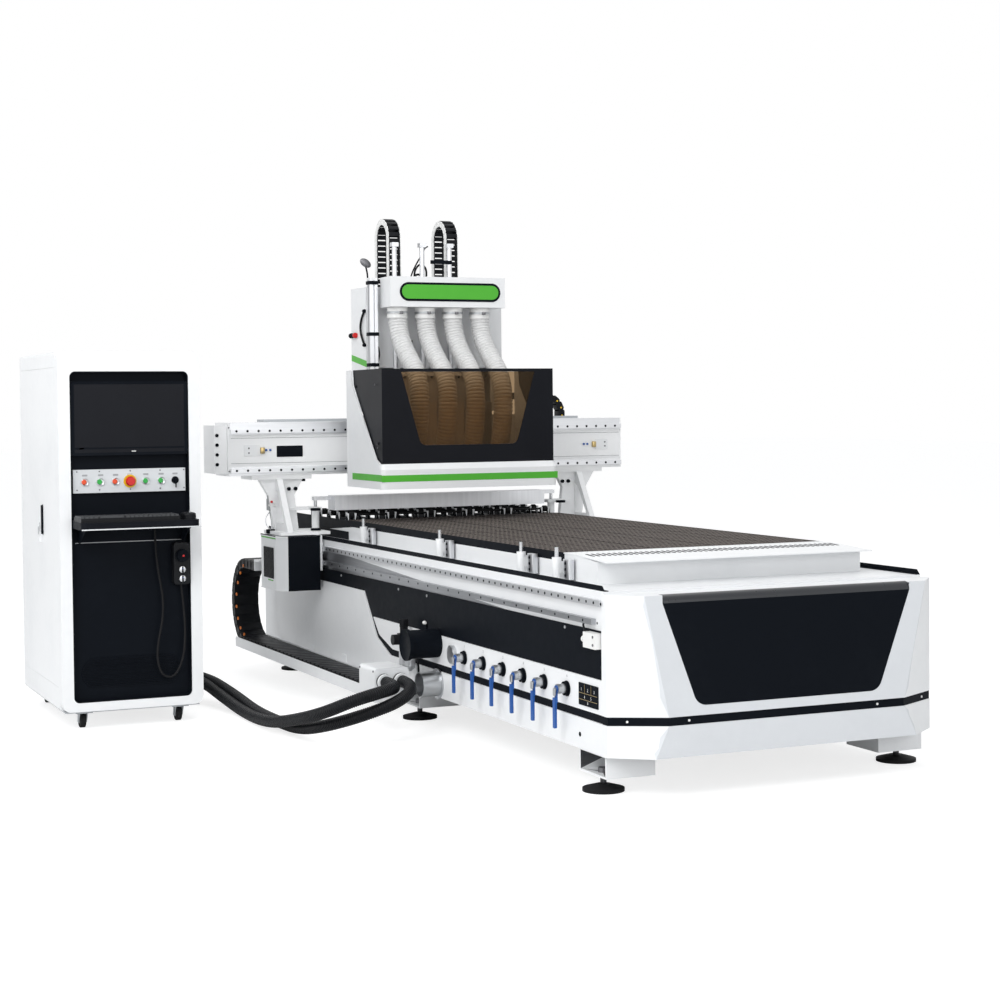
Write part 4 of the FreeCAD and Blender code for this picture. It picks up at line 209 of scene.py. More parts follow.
def mix_shaders(tree, share, first, second, output):
    both = tree.nodes.new("ShaderNodeMixShader")
    for slot, value in zip(both.inputs, (share, first.outputs[0], second.outputs[0])):
        plug(tree, value, slot)
    plug(tree, both.outputs[0], output.inputs[0])


# %% [markdown]
# Powder coat is sprayed dry and baked, so it has a fine orange peel and a soft shine. A
# slow noise lets its tone drift a little, or the white would look like paper.


# %% Painted sheet
def powder_coat(name, colour, shade, rough, peel=900.0, depth=0.00015, gloss=0.5):
    coat = Finish(name, colour, rough, gloss=gloss)
    cloud = coat.noise(3.0, 5.0)
    patch = coat.noise(28.0, 4.0)
    worn = ((cloud - 0.45) * 1.6 + (patch - 0.5) * 0.5).clear()
    coat.feed("Base Color", coat.mix(worn, colour, shade))
    coat.feed("Roughness", rough + (patch - 0.5) * 0.16)
    coat.bump(coat.noise(peel, 2.0), depth, 0.35)
    return coat.material


white = powder_coat("white_powder_coat", (0.80, 0.81, 0.82), (0.72, 0.735, 0.75), 0.38)
cast = powder_coat("white_cast_paint", (0.88, 0.885, 0.89), (0.80, 0.81, 0.82), 0.45,
                   260.0, 0.0006)
grey_sheet = powder_coat("grey_powder_coat", (0.42, 0.44, 0.46), (0.36, 0.38, 0.40), 0.42)
pale_grey = powder_coat("pale_grey_coat", (0.62, 0.64, 0.66), (0.55, 0.57, 0.59), 0.4)
# A cooler grey coat paints shade on the white casing's front face.
front_shade_grey = powder_coat("casing_front_painted_shade", (0.66, 0.68, 0.705), (0.60, 0.62, 0.645), 0.38)
dull = {"depth": 0.0001, "gloss": 0.03}
shelf_steel = powder_coat("shelf_coat", (0.007, 0.008, 0.011), (0.012, 0.0135, 0.017), 0.42,
                          **dull)
satin_black = powder_coat("satin_black", (0.005, 0.0065, 0.0095), (0.008, 0.010, 0.0135),
                          0.42, 700.0, **dull)
rolled_black = powder_coat("rolled_black_sheet", (0.006, 0.008, 0.012), (0.009, 0.011, 0.016),
                           0.3, depth=0.0001, gloss=0.6)
green = powder_coat("green_stripe_paint", (0.075, 0.42, 0.03), (0.06, 0.36, 0.026), 0.4,
                    depth=0.0001, gloss=0.3)

# %% [markdown]
# Bare metal is ground or drawn along its length, so its scratches are a noise that is
# stretched one way. Steel is darker and sharper than anodised aluminium.


# %% Bare metal
def ground_metal(name, colour, shade, rough, along, scale=160.0):
    metal = Finish(name, colour, rough, 1.0)
    grain = tuple(scale / 40 if i == along else scale for i in range(3))
    streak = metal.noise(1.0, 4.0, metal.stretched(grain))
    metal.feed("Base Color", metal.mix(streak, colour, shade))
    metal.feed("Roughness", rough + (streak - 0.5) * 0.14)
    metal.bump(streak, 0.00005, 0.2)
    return metal.material


BRIGHT, BRIGHT_SHADE = (0.72, 0.73, 0.75), (0.62, 0.63, 0.65)
rail_steel = ground_metal("ground_rail_steel", BRIGHT, BRIGHT_SHADE, 0.42, 1)
cross_steel = ground_metal("ground_cross_rail", BRIGHT, BRIGHT_SHADE, 0.42, 0)
upright_steel = ground_metal("bright_rod", BRIGHT, (0.6, 0.61, 0.63), 0.2, 2)
rack_steel = ground_metal("rack_steel", (0.50, 0.51, 0.53), (0.36, 0.37, 0.39), 0.36, 1)
alloy = ground_metal("anodised_alloy", (0.70, 0.71, 0.73), (0.58, 0.59, 0.61), 0.36, 2, 90.0)
zinc = ground_metal("zinc_plate", (0.60, 0.61, 0.62), (0.48, 0.5, 0.52), 0.34, 0, 60.0)
bolt_steel = ground_metal("bolt_steel", (0.22, 0.22, 0.23), (0.12, 0.12, 0.13), 0.4, 0, 300.0)
brass_like = ground_metal("dull_brass", (0.55, 0.42, 0.2), (0.42, 0.32, 0.15), 0.35, 0)

# %% [markdown]
# Plastics, rubber and the table's compressed board have no grain of direction, only a
# fine pitting and a change of tone. The board of the vacuum table is phenolic, brown-grey
# and slightly mottled, with pale dust on it and grooves both ways, whose near-black colour
# is painted shade.


# %% Plastics, rubber and board
def moulded(name, colour, shade, rough, scale=500.0, depth=0.0001, gloss=0.35):
    skin = Finish(name, colour, rough, gloss=gloss)
    patch = skin.noise(18.0, 4.0)
    skin.feed("Base Color", skin.mix((patch * 1.4 - 0.2).clear(), colour, shade))
    skin.feed("Roughness", rough + (patch - 0.5) * 0.2)
    skin.bump(skin.noise(scale, 2.0), depth, 0.4)
    return skin.material


black_plastic = moulded("black_plastic", (0.006, 0.0065, 0.008), (0.011, 0.012, 0.014), 0.38,
                        gloss=0.12)
rubber = moulded("black_rubber", (0.006, 0.006, 0.007), (0.013, 0.013, 0.014), 0.68, 240.0,
                 0.0004, 0.15)
nylon = moulded("chain_nylon", (0.005, 0.0055, 0.007), (0.009, 0.010, 0.012), 0.45, 300.0,
                0.0002, 0.12)
corrugated = moulded("conduit_nylon", (0.0035, 0.004, 0.005), (0.007, 0.008, 0.010), 0.38,
                     400.0, gloss=0.16)
blue_plastic = moulded("blue_handle", (0.012, 0.075, 0.30), (0.02, 0.10, 0.36), 0.32)
red_plastic = moulded("red_mushroom", (0.62, 0.012, 0.010), (0.52, 0.01, 0.01), 0.3)
orange_plastic = moulded("orange_red_cap", (0.78, 0.085, 0.02), (0.66, 0.06, 0.015), 0.3)
green_plastic = moulded("green_cap", (0.03, 0.42, 0.07), (0.02, 0.34, 0.05), 0.3)
yellow_plastic = moulded("yellow_mark", (0.85, 0.55, 0.02), (0.75, 0.46, 0.02), 0.4)
orange_mark = moulded("orange_mark", (0.75, 0.22, 0.03), (0.62, 0.16, 0.02), 0.4)
white_plastic = moulded("white_plastic", (0.80, 0.80, 0.79), (0.72, 0.72, 0.71), 0.35)
soft_grey = moulded("grey_plastic", (0.36, 0.37, 0.38), (0.30, 0.31, 0.32), 0.45)
key_grey = moulded("key_caps", (0.03, 0.032, 0.036), (0.045, 0.048, 0.052), 0.5)

GRID_PITCH, GROOVE, ROW_PITCH, ROW_GROOVE, GRID_START = 0.022, 0.007, 0.05, 0.018, 8.0
board = Finish("phenolic_board", (0.16, 0.14, 0.13), 0.7, gloss=0.02)
mottle = board.noise(9.0, 6.0)
speck = board.noise(160.0, 3.0)
dust = ((speck - 0.55) * 3.0 + (mottle - 0.5)).clear()
across = (board.axis("X") + GRID_START).wrapped(GRID_PITCH).over(GROOVE)
land = across * (board.axis("Y") + GRID_START).wrapped(ROW_PITCH).over(ROW_GROOVE)
tone = board.mix(dust, (0.17, 0.146, 0.133), (0.27, 0.235, 0.215))
# The grooves take a near-black colour: painted shade inside them.
board.feed("Base Color", board.mix(land, (0.026, 0.024, 0.023), tone))
board.feed("Roughness", 0.55 + mottle * 0.2)
board.bump(land + speck * 0.15, 0.0022, 0.7)

screen_dark = (0.006, 0.0065, 0.009)
lamp_glass = Finish("screen_glass", screen_dark, 0.3, gloss=0.07)
smear = lamp_glass.noise(6.0, 5.0)
lamp_glass.feed("Roughness", 0.26 + smear * 0.12)
lamp_glass.feed("Base Color", lamp_glass.mix(smear, screen_dark, (0.010, 0.011, 0.0145)))

# %% [markdown]
# The clear wire-wound hoses let light pass by their alpha, as their wall is milky between
# its ribs. The hood's brown acrylic darkens what is behind it: a clear tinted layer lies
# under its thin surface.

# %% Clear parts
WALL_FILM, PANE_FILM = 40.0, 3.0


def see_through(name, colour, thin, thick, rough):
    pane = Finish(name, colour, rough, gloss=0.6)
    film = pane.noise(WALL_FILM, 3.0)
    pane.feed("Alpha", thin + film * (thick - thin))
    pane.feed("Roughness", rough + film * 0.1)
    pane.material.surface_render_method = "BLENDED"
    return pane.material


hose_wall = see_through("clear_hose_wall", (0.80, 0.80, 0.80), 0.6, 0.82, 0.25)
hose_groove = see_through("clear_hose_groove", (0.10, 0.09, 0.085), 0.76, 0.92, 0.3)

pane = Finish("brown_acrylic", (0.066, 0.043, 0.020), 0.12, gloss=0.25)
film = pane.noise(PANE_FILM, 3.0)
pane.feed("Roughness", 0.12 + film * 0.1)
layer = pane.tree.nodes.new("ShaderNodeBsdfTransparent")
plug(pane.tree, (0.74, 0.61, 0.46), layer.inputs["Color"])
mix_shaders(pane.tree, 0.18 + film * 0.16, layer, pane.shader,
            pane.tree.nodes["Material Output"])
pane.material.surface_render_method = "BLENDED"
tinted = pane.material

# %% [markdown]
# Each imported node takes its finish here. Some nodes hold pieces of more than one kind,
# so a face takes another material where its middle lies in a named block of space.

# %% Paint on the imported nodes
FAR = 9000


def paint(name, base, *regions):
    mesh = nodes[name].data
    mesh.materials.clear()
    mesh.materials.append(base)
    for material, low, high in regions:
        mesh.materials.append(material)
        index = len(mesh.materials) - 1
        low, high = place(*low), place(*high)
        for face in mesh.polygons:
            if all(a <= c <= b for a, c, b in zip(low, face.center, high)):
                face.material_index = index


def mirrored(material, low, high):
    """A block of space and its mirror image on the machine's other side."""
    return [(material, low, high), (material, (-high[0], *low[1:]), (-low[0], *high[1:]))]


guide_post = (alloy, (-456, 3196, 1640), (-404, 3248, 2112))
paint("bed_frame", white, *mirrored(rail_steel, (-728, -FAR, 701), (-705, FAR, 727)),
      *mirrored(rack_steel, (-728, -FAR, 629), (-705, FAR, 653)),
      (rubber, (-FAR, -FAR, -1), (FAR, FAR, 42)),
      *mirrored(bolt_steel, (-684, -FAR, 42), (-640, FAR, 131)))
# Painted shade: the casing's front face takes the grey coat instead of the white.
paint("bed_casing", white, (front_shade_grey, (-FAR, -111, 60), (FAR, -104, 752)))
paint("bed_dark_trim", satin_black, (rolled_black, (-600, -112, 690), (600, -60, 760)))
paint("table_base", white, (satin_black, (-FAR, 3150, 700), (FAR, 4100, 870)))
paint("vacuum_grid", board.material,
      *mirrored(satin_black, (-601, -FAR, 800), (-598, FAR, 859)))
paint("air_fittings", zinc, (satin_black, (-724, 60, 310), (-712, 240, 410)),
      (white_plastic, (-750, 40, 540), (-700, 150, 610)),
      (satin_black, (-870, 1580, 320), (-713, 1730, 470)),
      (black_plastic, (-790, 1850, 403), (-713, 2000, 480)),
      (black_plastic, (-870, 1930, 340), (-779, 2000, 412)),
      (satin_black, (-731, 300, 330), (-713, 1380, 395)))
paint("stop_pins", upright_steel, (alloy, (-FAR, -FAR, 700), (FAR, FAR, 847)))
paint("gantry_beam", cast, (cross_steel, (-1140, 3425, 1115), (1140, 3452, 1146)),
      (cross_steel, (-1140, 3425, 1322), (1140, 3452, 1352)),
      (grey_sheet, (-940, 3540, 1371), (940, 3690, 1390)))
paint("gantry_columns", cast, (soft_grey, (-935, 3470, 900), (-890, 3530, 970)))
paint("drive_housings", white, (satin_black, (-966, 3295, 555), (-961, 3475, 725)),
      *mirrored(satin_black, (-917, 3195, 400), (-740, 3206, 900)))
paint("sheet_pusher", alloy, *mirrored(upright_steel, (-715, 3395, 790), (-670, 3445, 922)))
paint("carriage", cast, guide_post)
paint("head_housing", white, guide_post)
paint("cabinet_shell", white, (grey_sheet, (-FAR, 2300, 20), (FAR, 3400, 83)))
paint("cabinet_door", white, (satin_black, (-2250, 2785, 860), (-2221, 2815, 1010)))
paint("control_desk", pale_grey, (shelf_steel, (-FAR, 2180, 900), (FAR, 2402, 948)),
      (black_plastic, (-2190, 2200, 947), (-1600, 2400, 990)),
      (satin_black, (-FAR, 2186, 820), (FAR, 2441, 913)))
for material, names in (
        (nylon, ["ychain_runs", "ychain_bend", "xchain", "z_chains"]),
        (white, ["head_cover", "dust_manifold"]), (tinted, ["head_window"]),
        (lamp_glass.material, ["head_screen", "monitor"]),
        (satin_black, ["cabinet_fascia", "handwheel", "key_switch"]),
        (black_plastic, ["pendant"]), (red_plastic, ["estop"]),
        (orange_plastic, ["button_1", "button_3"]),
        (green_plastic, ["button_2", "button_4", "button_5"]),
        (rubber, ["caster_wheels_front", "caster_wheels_rear"]
                 + [f"infeed_wheels_{n}" for n in range(1, 6)]),
        (alloy, ["z_slide", "spindle_1", "spindle_2", "spindle_3"]),
        (bolt_steel, [f"tool_shaft_{n}" for n in range(1, 5)]),
        (blue_plastic, [f"valve_handle_{n}" for n in range(1, 7)])):
    for name in names:
        paint(name, material)

# %% [markdown]
# Modelling starts with nothing selected. A few short helpers make a primitive with its
# size and turn in its mesh, select faces or edges by where they lie, and finish a piece:
# its parts are joined, it is shaded smooth by angle, and it rides on its body.

# %% Modelling helpers
AXES = {"X": (0, math.pi / 2, 0), "Y": (-math.pi / 2, 0, 0), "Z": (0, 0, 0)}
TOUCH = 1e-6


def clear_selection():
    if bpy.context.object and bpy.context.object.mode != "OBJECT":
        bpy.ops.object.mode_set(mode="OBJECT")
    bpy.ops.object.select_all(action="DESELECT")


def active(*objects):
    clear_selection()
    for obj in objects:
        obj.select_set(True)
    bpy.context.view_layer.objects.active = objects[0]


def settled():
    """The active primitive, once its size and turn have gone into its mesh."""
    bpy.ops.object.transform_apply(location=True, rotation=True, scale=True)
    return bpy.context.object


def cube(middle, size):
    clear_selection()
    bpy.ops.mesh.primitive_cube_add(size=1, location=middle, scale=size)
    return settled()


def drum(middle, radius, length, axis, sides, fill="NGON"):
    clear_selection()
    bpy.ops.mesh.primitive_cylinder_add(
        vertices=sides, radius=radius * MM, depth=length * MM, end_fill_type=fill,
        location=middle, rotation=AXES[axis])
    return settled()


def pick(obj, kind, test):
    """In edit mode with only the faces, edges or corners that pass the test selected."""
    active(obj)
    bpy.ops.object.mode_set(mode="EDIT")
    bpy.ops.mesh.select_mode(type=kind)
    bpy.ops.mesh.select_all(action="DESELECT")
    bpy.ops.object.mode_set(mode="OBJECT")
    mesh = obj.data
    for item in {"FACE": mesh.polygons, "EDGE": mesh.edges, "VERT": mesh.vertices}[kind]:
        item.select = bool(test(item))
    bpy.ops.object.mode_set(mode="EDIT")


def done_editing():
    bpy.ops.object.mode_set(mode="OBJECT")


def ends(obj, edge, run):
    return [obj.data.vertices[v].co[run] for v in edge.vertices]


def pick_along(obj, axis, least=TOUCH):
    """The edges that run along one axis are selected."""
    run = "XYZ".index(axis)
    pick(obj, "EDGE", lambda e: abs(ends(obj, e, run)[0] - ends(obj, e, run)[1]) > least)


def bevel(width, segments):
    bpy.ops.mesh.bevel(offset=width * MM, segments=segments, affect="EDGES")
    done_editing()


def ease_rims(obj, is_end, width, segments):
    rims = {key for face in obj.data.polygons if is_end(face) for key in face.edge_keys}
    pick(obj, "EDGE", lambda e: e.key in rims)
    bevel(width, segments)
    return obj


def sunk(obj, axis, insets, depth):
    """The near face is inset once or more and pushed in. Near is low X, low Y or high Z."""
    run, side = "XYZ".index(axis), 1 if axis == "Z" else -1
    pick(obj, "FACE", lambda f: f.normal[run] * side > 0.9)
    for inset in insets:
        bpy.ops.mesh.inset(thickness=inset * MM)
    push = [0.0, 0.0, 0.0]
    push[run] = -side * depth * MM
    bpy.ops.transform.translate(value=push)
    done_editing()
    return obj


def modified(obj, kind, **settings):
    change = obj.modifiers.new(kind.lower(), kind)
    for key, value in settings.items():
        setattr(change, key, value)
    active(obj)
    bpy.ops.object.modifier_apply(modifier=change.name)
    return obj


def joined(parts):
    active(*parts)
    if len(parts) > 1:
        bpy.ops.object.join()
    return parts[0]


def finish(name, made, body, material, angle=35):
    """One named piece from one part or a list of parts."""
    obj = joined(made if isinstance(made, list) else [made])
    obj.name = obj.data.name = name
    bpy.ops.object.shade_smooth_by_angle(angle=math.radians(angle))
    obj.data.materials.clear()
    obj.data.materials.append(material)
    if body:
        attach(obj, body)
    return obj


# %% [markdown]
# Most small pieces are one of a few shapes. Blocks, slabs and rods are made in their
# place. Cap screws and turned rings are made at the row's origin and then copied.


# %% Common shapes
def block(low, high, width=1.0, segments=2):
    """A block between two corners with eased edges."""
    first, second = place(*low), place(*high)
    obj = cube((first + second) / 2, second - first)
    pick(obj, "EDGE", lambda e: True)
    bevel(width, segments)
    return obj


def strip(low, high, width=0.4):
    return block(low, high, width, 1)


def slab(low, high, axis, radius, segments=8, ease=0.5):
    """A plate whose four corners along one axis are rounded, with eased rims."""
    first, second = place(*low), place(*high)
    obj = cube((first + second) / 2, second - first)
    pick_along(obj, axis)
    bevel(radius, segments)
    if ease:
        ease_rims(obj, lambda f: abs(f.normal["XYZ".index(axis)]) > 0.9, ease, 1)
    return obj


def rod(middle, radius, length, axis="Z", sides=32, ease=0.8, segments=2):
    """A round bar with eased rims."""
    obj = drum(place(*middle), radius, length, axis, sides)
    return ease_rims(obj, lambda f: len(f.vertices) == sides, ease, segments)


def cap_screw(radius, height, axis="X", sides=16):
    """A screw head at the row's origin, with a socket in its near face."""
    head = drum((0, 0, 0), radius, height, axis, sides)
    return sunk(head, axis, (radius * 0.18, radius * 0.30), height * 0.45)


def ring(radius, inner, depth, axis="Y", sides=40):
    """A turned ring at the row's origin: a disc with a sunk face and an eased near rim."""
    disc = sunk(drum((0, 0, 0), radius, depth, axis, sides), axis, (radius - inner,), depth * 0.7)
    run, side = "XYZ".index(axis), 1 if axis == "Z" else -1
    near = side * depth / 2 * MM
    pick(disc, "EDGE", lambda e: abs(sum(ends(disc, e, run)) / 2 - near) < TOUCH)
    bevel(min(0.5, depth * 0.2), 1)
    return disc


def strung(master, moves):
    """Copies of a part made at the row's origin, one for each matrix, joined."""
    made = []
    for move in moves:
        twin = master.copy()
        twin.data = master.data.copy()
        twin.data.transform(move)
        scene.collection.objects.link(twin)
        made.append(twin)
    bpy.data.objects.remove(master)
    return joined(made)


def at_points(places):
    return [Matrix.Translation(place(*p)) for p in places]


def copies(name, master, places, body, material, angle=30):
    """A part from the row's origin at each of the places, finished as one piece."""
    return finish(name, strung(master, at_points(places)), body, material, angle)


# %% [markdown]
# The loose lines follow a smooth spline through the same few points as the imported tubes.
# A conduit or a hose is moulded with ribs: one rib is a short open cylinder whose middle
# rings are pushed out, repeated along the spline and bent to it.

# %% Loose lines
CONDUIT_1 = [(-1554, 3078, 132), (-1450, 2974, 112), (-1400, 2720, 50), (-1398, 2380, 27),
             (-1396, 2060, 32), (-1385, 1790, 70), (-1340, 1440, 150), (-1222, 1352, 212),
             (-1076, 1365, 240), (-976, 1472, 237), (-976, 1622, 237)]
CONDUIT_2 = [(-1554, 3178, 140), (-1410, 3034, 118), (-1336, 2760, 56), (-1338, 2400, 27),
             (-1334, 2060, 27), (-1324, 1760, 36), (-1280, 1503, 89), (-1144, 1371, 149),
             (-1001, 1366, 194), (-899, 1470, 237), (-899, 1622, 237)]
PENDANT_CORD = [(-1802, 2412, 914), (-1800, 2410, 800), (-1788, 2406, 690),
                (-1770, 2402, 590), (-1772, 2400, 484), (-1794, 2399, 390),
                (-1804, 2398, 300), (-1780, 2396, 222), (-1724, 2394, 212),
                (-1682, 2396, 288), (-1668, 2400, 400), (-1672, 2404, 520),
                (-1684, 2407, 640)]
CONDUIT_SIZE, PENDANT_SIZE, HOSE_SIZE = 0.054, 0.010, 0.100
HOSE_Y, MANIFOLD_Z = 3150, 1967
HOSE_TOPS = [(-318 + 156 * i, HOSE_Y, MANIFOLD_Z) for i in range(4)]


def hose_route(index):
    top, low = HOSE_TOPS[index][0], -291.5 + 157 * index
    return [(top, HOSE_Y, MANIFOLD_Z + 1), (top, HOSE_Y, 1850), (top + 16, 3082, 1730),
            (top + 42, 2972, 1610), (low + 8, 2925, 1480), (low + 4, 2935, 1350),
            (low + 1, 2966, 1250), (low, 3004, 1146), (low, 3004, 1046)]


def spline(name, points):
    data = bpy.data.curves.new(name, "CURVE")
    data.dimensions = "3D"
    data.resolution_u = 16
    line = data.splines.new("NURBS")
    line.points.add(len(points) - 1)
    for point, at in zip(line.points, points):
        point.co = (*place(*at), 1.0)
    line.order_u = 3
    line.use_endpoint_u = True
    obj = bpy.data.objects.new(name, data)
    scene.collection.objects.link(obj)
    return obj


def followed(obj):
    """The points along a spline and the length of the line through them."""
    mesh = bpy.data.meshes.new_from_object(obj)
    points = [v.co.copy() for v in mesh.vertices]
    bpy.data.meshes.remove(mesh)
    return points, sum((b - a).length for a, b in zip(points, points[1:]))


def ribbed_tube(route, radius, root, pitch, sides=20, grooved=False):
    guide = spline("guide", route)
    points, length = followed(guide)
    count = int(length / (pitch * MM))
    step = length / count
    tube = drum((step / 2, 0, 0), root, step / MM, "X", sides, "NOTHING")
    pick_along(tube, "X", step / 2)
    bpy.ops.mesh.subdivide(number_cuts=3)
    done_editing()
    pick(tube, "VERT", lambda v: abs(v.co.x - step / 2) < step * 0.3)
    bpy.ops.transform.resize(value=(1, radius / root, radius / root))
    done_editing()
    for face in tube.data.polygons:
        face.material_index = int(grooved and abs(face.center.x - step / 2) > step * 0.3)
    modified(tube, "ARRAY", fit_type="FIXED_COUNT", count=count, use_relative_offset=False,
             use_constant_offset=True, constant_offset_displace=(step, 0, 0),
             use_merge_vertices=True, merge_threshold=0.0002)
    modified(tube, "CURVE", object=guide, deform_axis="POS_X")
    bpy.data.objects.remove(guide)
    return tube, points, length


for number, route in ((1, CONDUIT_1), (2, CONDUIT_2)):
    tube, points, length = ribbed_tube(route, 27, 24, 9.5)
    finish(f"corrugated_conduit_{number}", tube, "machine", corrugated, 60)
    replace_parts(tube, f"conduit_{number}")
    place(*route[0])

pendant_line = spline("pendant_lead", PENDANT_CORD)
length = followed(pendant_line)[1]
pendant_line.data.bevel_depth = PENDANT_SIZE / 2
pendant_line.data.bevel_resolution = 4
pendant_line.data.materials.append(rubber)
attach(pendant_line, "machine")
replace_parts(pendant_line, "pendant_cord")
place(*PENDANT_CORD[0])

for index in range(4):
    tube, points, length = ribbed_tube(hose_route(index), 50, 45.5, 17, 24, True)
    finish(f"clear_hose_{index + 1}", tube, "head", hose_wall, 60)
    tube.data.materials.append(hose_groove)
    x, y, z = hose_route(index)[0]
    place(x + 14, y, z)
    if index == 0:
        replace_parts(tube, "dust_hoses")

# %% [markdown]
# The head cover carries one green belt, which turns the corner at the front left and runs
# to the cover's rear edge. It is a thin painted strip that stands a hair proud.

# %% Green belt on the head
BELT, BELT_WIDTH, COVER_LEFT, COVER_RIGHT, COVER_FRONT, COVER_REAR = 1.2, 34, -546, 434, 2795, 3236
belt = [strip((x0, COVER_FRONT - BELT, z), (x1, y1, z + BELT_WIDTH)) for x0, x1, y1, z in (
    (COVER_LEFT, COVER_RIGHT, COVER_FRONT, 1067), (COVER_LEFT - BELT, COVER_LEFT, COVER_REAR, 1069),
    (COVER_RIGHT, COVER_RIGHT + BELT, COVER_REAR, 1067))]
finish("head_green_belt", belt, "head", green)

# %% [markdown]
# The long green badge on the dust manifold is a rounded bar in a black frame. The place
# of its lettering stays bare.

# %% Green badge on the manifold
BADGE_FRONT, FRAME_WIDTH, BADGE_RADIUS = 3080, 12, 36.9
badge_frame = slab((-318 - FRAME_WIDTH, BADGE_FRONT - 2.8, 2010 - FRAME_WIDTH),
                   (230 + FRAME_WIDTH, BADGE_FRONT, 2084 + FRAME_WIDTH), "Y",
                   BADGE_RADIUS + FRAME_WIDTH, 14)
finish("badge_frame", badge_frame, "head", satin_black)
badge = slab((-318, BADGE_FRONT - 4.2, 2010), (230, BADGE_FRONT - 2, 2084), "Y", BADGE_RADIUS,
             14)
finish("green_badge", badge, "head", green)

# %% [markdown]
# Each hose is pushed on a spigot under the manifold. A white cuff covers its end, with a
# worm-drive band round it. A cuff is an open cylinder whose rims are rolled outwards.


# %% Hose cuffs and their bands
RIM_SWELL, MIDDLE_SWELL = 1.05, 1.025


def hose_cuff(radius, height, wall):
    cuff = drum((0, 0, -height / 2 * MM), radius, height, "Z", 40, "NOTHING")
    pick_along(cuff, "Z")
    bpy.ops.mesh.subdivide(number_cuts=6)
    done_editing()
    for swell, near, far in ((RIM_SWELL, 0.49, 0.51), (MIDDLE_SWELL, 0, 0.14)):
        pick(cuff, "VERT", lambda v: near <= abs(-v.co.z / MM / height - 0.5) < far)
        bpy.ops.transform.resize(value=(swell, swell, 1))
        done_editing()
    return modified(cuff, "SOLIDIFY", thickness=wall * MM, offset=1)


copies("hose_cuffs", hose_cuff(51, 56, 2.5), HOSE_TOPS, "head", white_plastic,
       40)
copies("hose_bands", hose_cuff(54.6, 11, 1.0), [(x, y, z - 22) for x, y, z in HOSE_TOPS],
       "head", zinc, angle=40)
worms = [block((x - 9, y - 66, z - 36), (x + 9, y - 54, z - 22), 1.5) for x, y, z in HOSE_TOPS]
finish("band_worm_boxes", worms, "head", bolt_steel)

# %% [markdown]
# Drag chains guide the cables. One link has two side plates shaped like a dog bone and a
# cross bar above and below. It is modelled once, then strung along the run and round the
# bend, each copy turned to the chain's direction.


# %% Drag chain link
OVERLAP, ROUNDING, BORDER, WAIST = 1.18, 0.38, 0.12, 0.55
BAR_PLACE, BAR_HEIGHT, BAR_EASE = 0.48, 0.14, 0.05


def bone_plate(x, pitch, height, thick):
    """A side plate in the Y-Z plane, round at both ends and thinner in its middle."""
    bone = cube((0, 0, 0), (thick * MM, pitch * OVERLAP * MM, height * MM))
    pick_along(bone, "X")
    bevel(min(height, pitch) * ROUNDING, 5)
    pick(bone, "FACE", lambda f: abs(f.normal.x) > 0.9)
    bpy.ops.mesh.inset(thickness=height * BORDER * MM)
    bpy.ops.transform.resize(value=(WAIST, 1, 1))
    done_editing()
    bone.data.transform(Matrix.Translation((x * MM, 0, 0)))
    return bone


def chain_link(width, pitch, height, thick, bars=True, share=0.72):
    half = (width - thick) / 2
    parts = [bone_plate(x, pitch, height, thick) for x in (-half, half)]
    for side in (-1, 1) if bars else ():
        bar = cube((0, 0, side * height * BAR_PLACE * MM),
                   ((width - thick) * MM, pitch * share * MM, height * BAR_HEIGHT * MM))
        pick(bar, "EDGE", lambda e: True)
        bevel(height * BAR_EASE, 2)
        parts.append(bar)
    return joined(parts)


QUARTER = math.radians(90)
SIDEWAYS = Matrix.Rotation(QUARTER, 4, "Z")


def steps(first, last, pitch):
    """The middles of equal steps of about one pitch between two values."""
    count = max(2, round(abs(last - first) / pitch))
    return [first + (last - first) / count * (i + 0.5) for i in range(count)]


def arc_moves(middle, radius, first, last, pitch, axis="X"):
    """Places round a bend: axis X bends in Y-Z, axis Y bends in X-Z."""
    x, y, z = middle
    moves = []
    for turned in steps(math.radians(first) * radius, math.radians(last) * radius, pitch):
        angle = turned / radius
        out, up = radius * math.cos(angle), radius * math.sin(angle)
        if axis == "X":
            moves.append(Matrix.Translation(place(x, y + out, z + up))
                         @ Matrix.Rotation(angle + QUARTER, 4, "X"))
        else:
            moves.append(Matrix.Translation(place(x + out, y, z + up))
                         @ Matrix.Rotation(-angle - QUARTER, 4, "Y") @ SIDEWAYS)
    return moves


# %% [markdown]
# The side chain feeds the gantry. Its lower run lies in the tray, its bend rolls along at
# half the gantry's speed, and its short upper run goes to the gantry. Four smooth cables
# lie inside the lower run, seen between the bars.

# %% Side chain
(CHAIN_X0, _, CHAIN_LOW), (CHAIN_X1, _, CHAIN_TOP) = extent("ychain_bend")
CHAIN_X, CHAIN_WIDTH = (CHAIN_X0 + CHAIN_X1) / 2, CHAIN_X1 - CHAIN_X0
CHAIN_HEIGHT, CHAIN_RADIUS, CHAIN_PITCH, BEND_Y = 50, 215, 62, 3800
RUN_REACH = 1950
chain_mid = (CHAIN_LOW + CHAIN_TOP) / 2
lower_z, upper_z = chain_mid - CHAIN_RADIUS, chain_mid + CHAIN_RADIUS
run_front = extent("ychain_runs")[0][1]


def side_chain(name, moves, body):
    link = chain_link(CHAIN_WIDTH - 2, CHAIN_PITCH, CHAIN_HEIGHT - 3, 9, share=0.96)
    return finish(name, strung(link, moves), body, nylon)


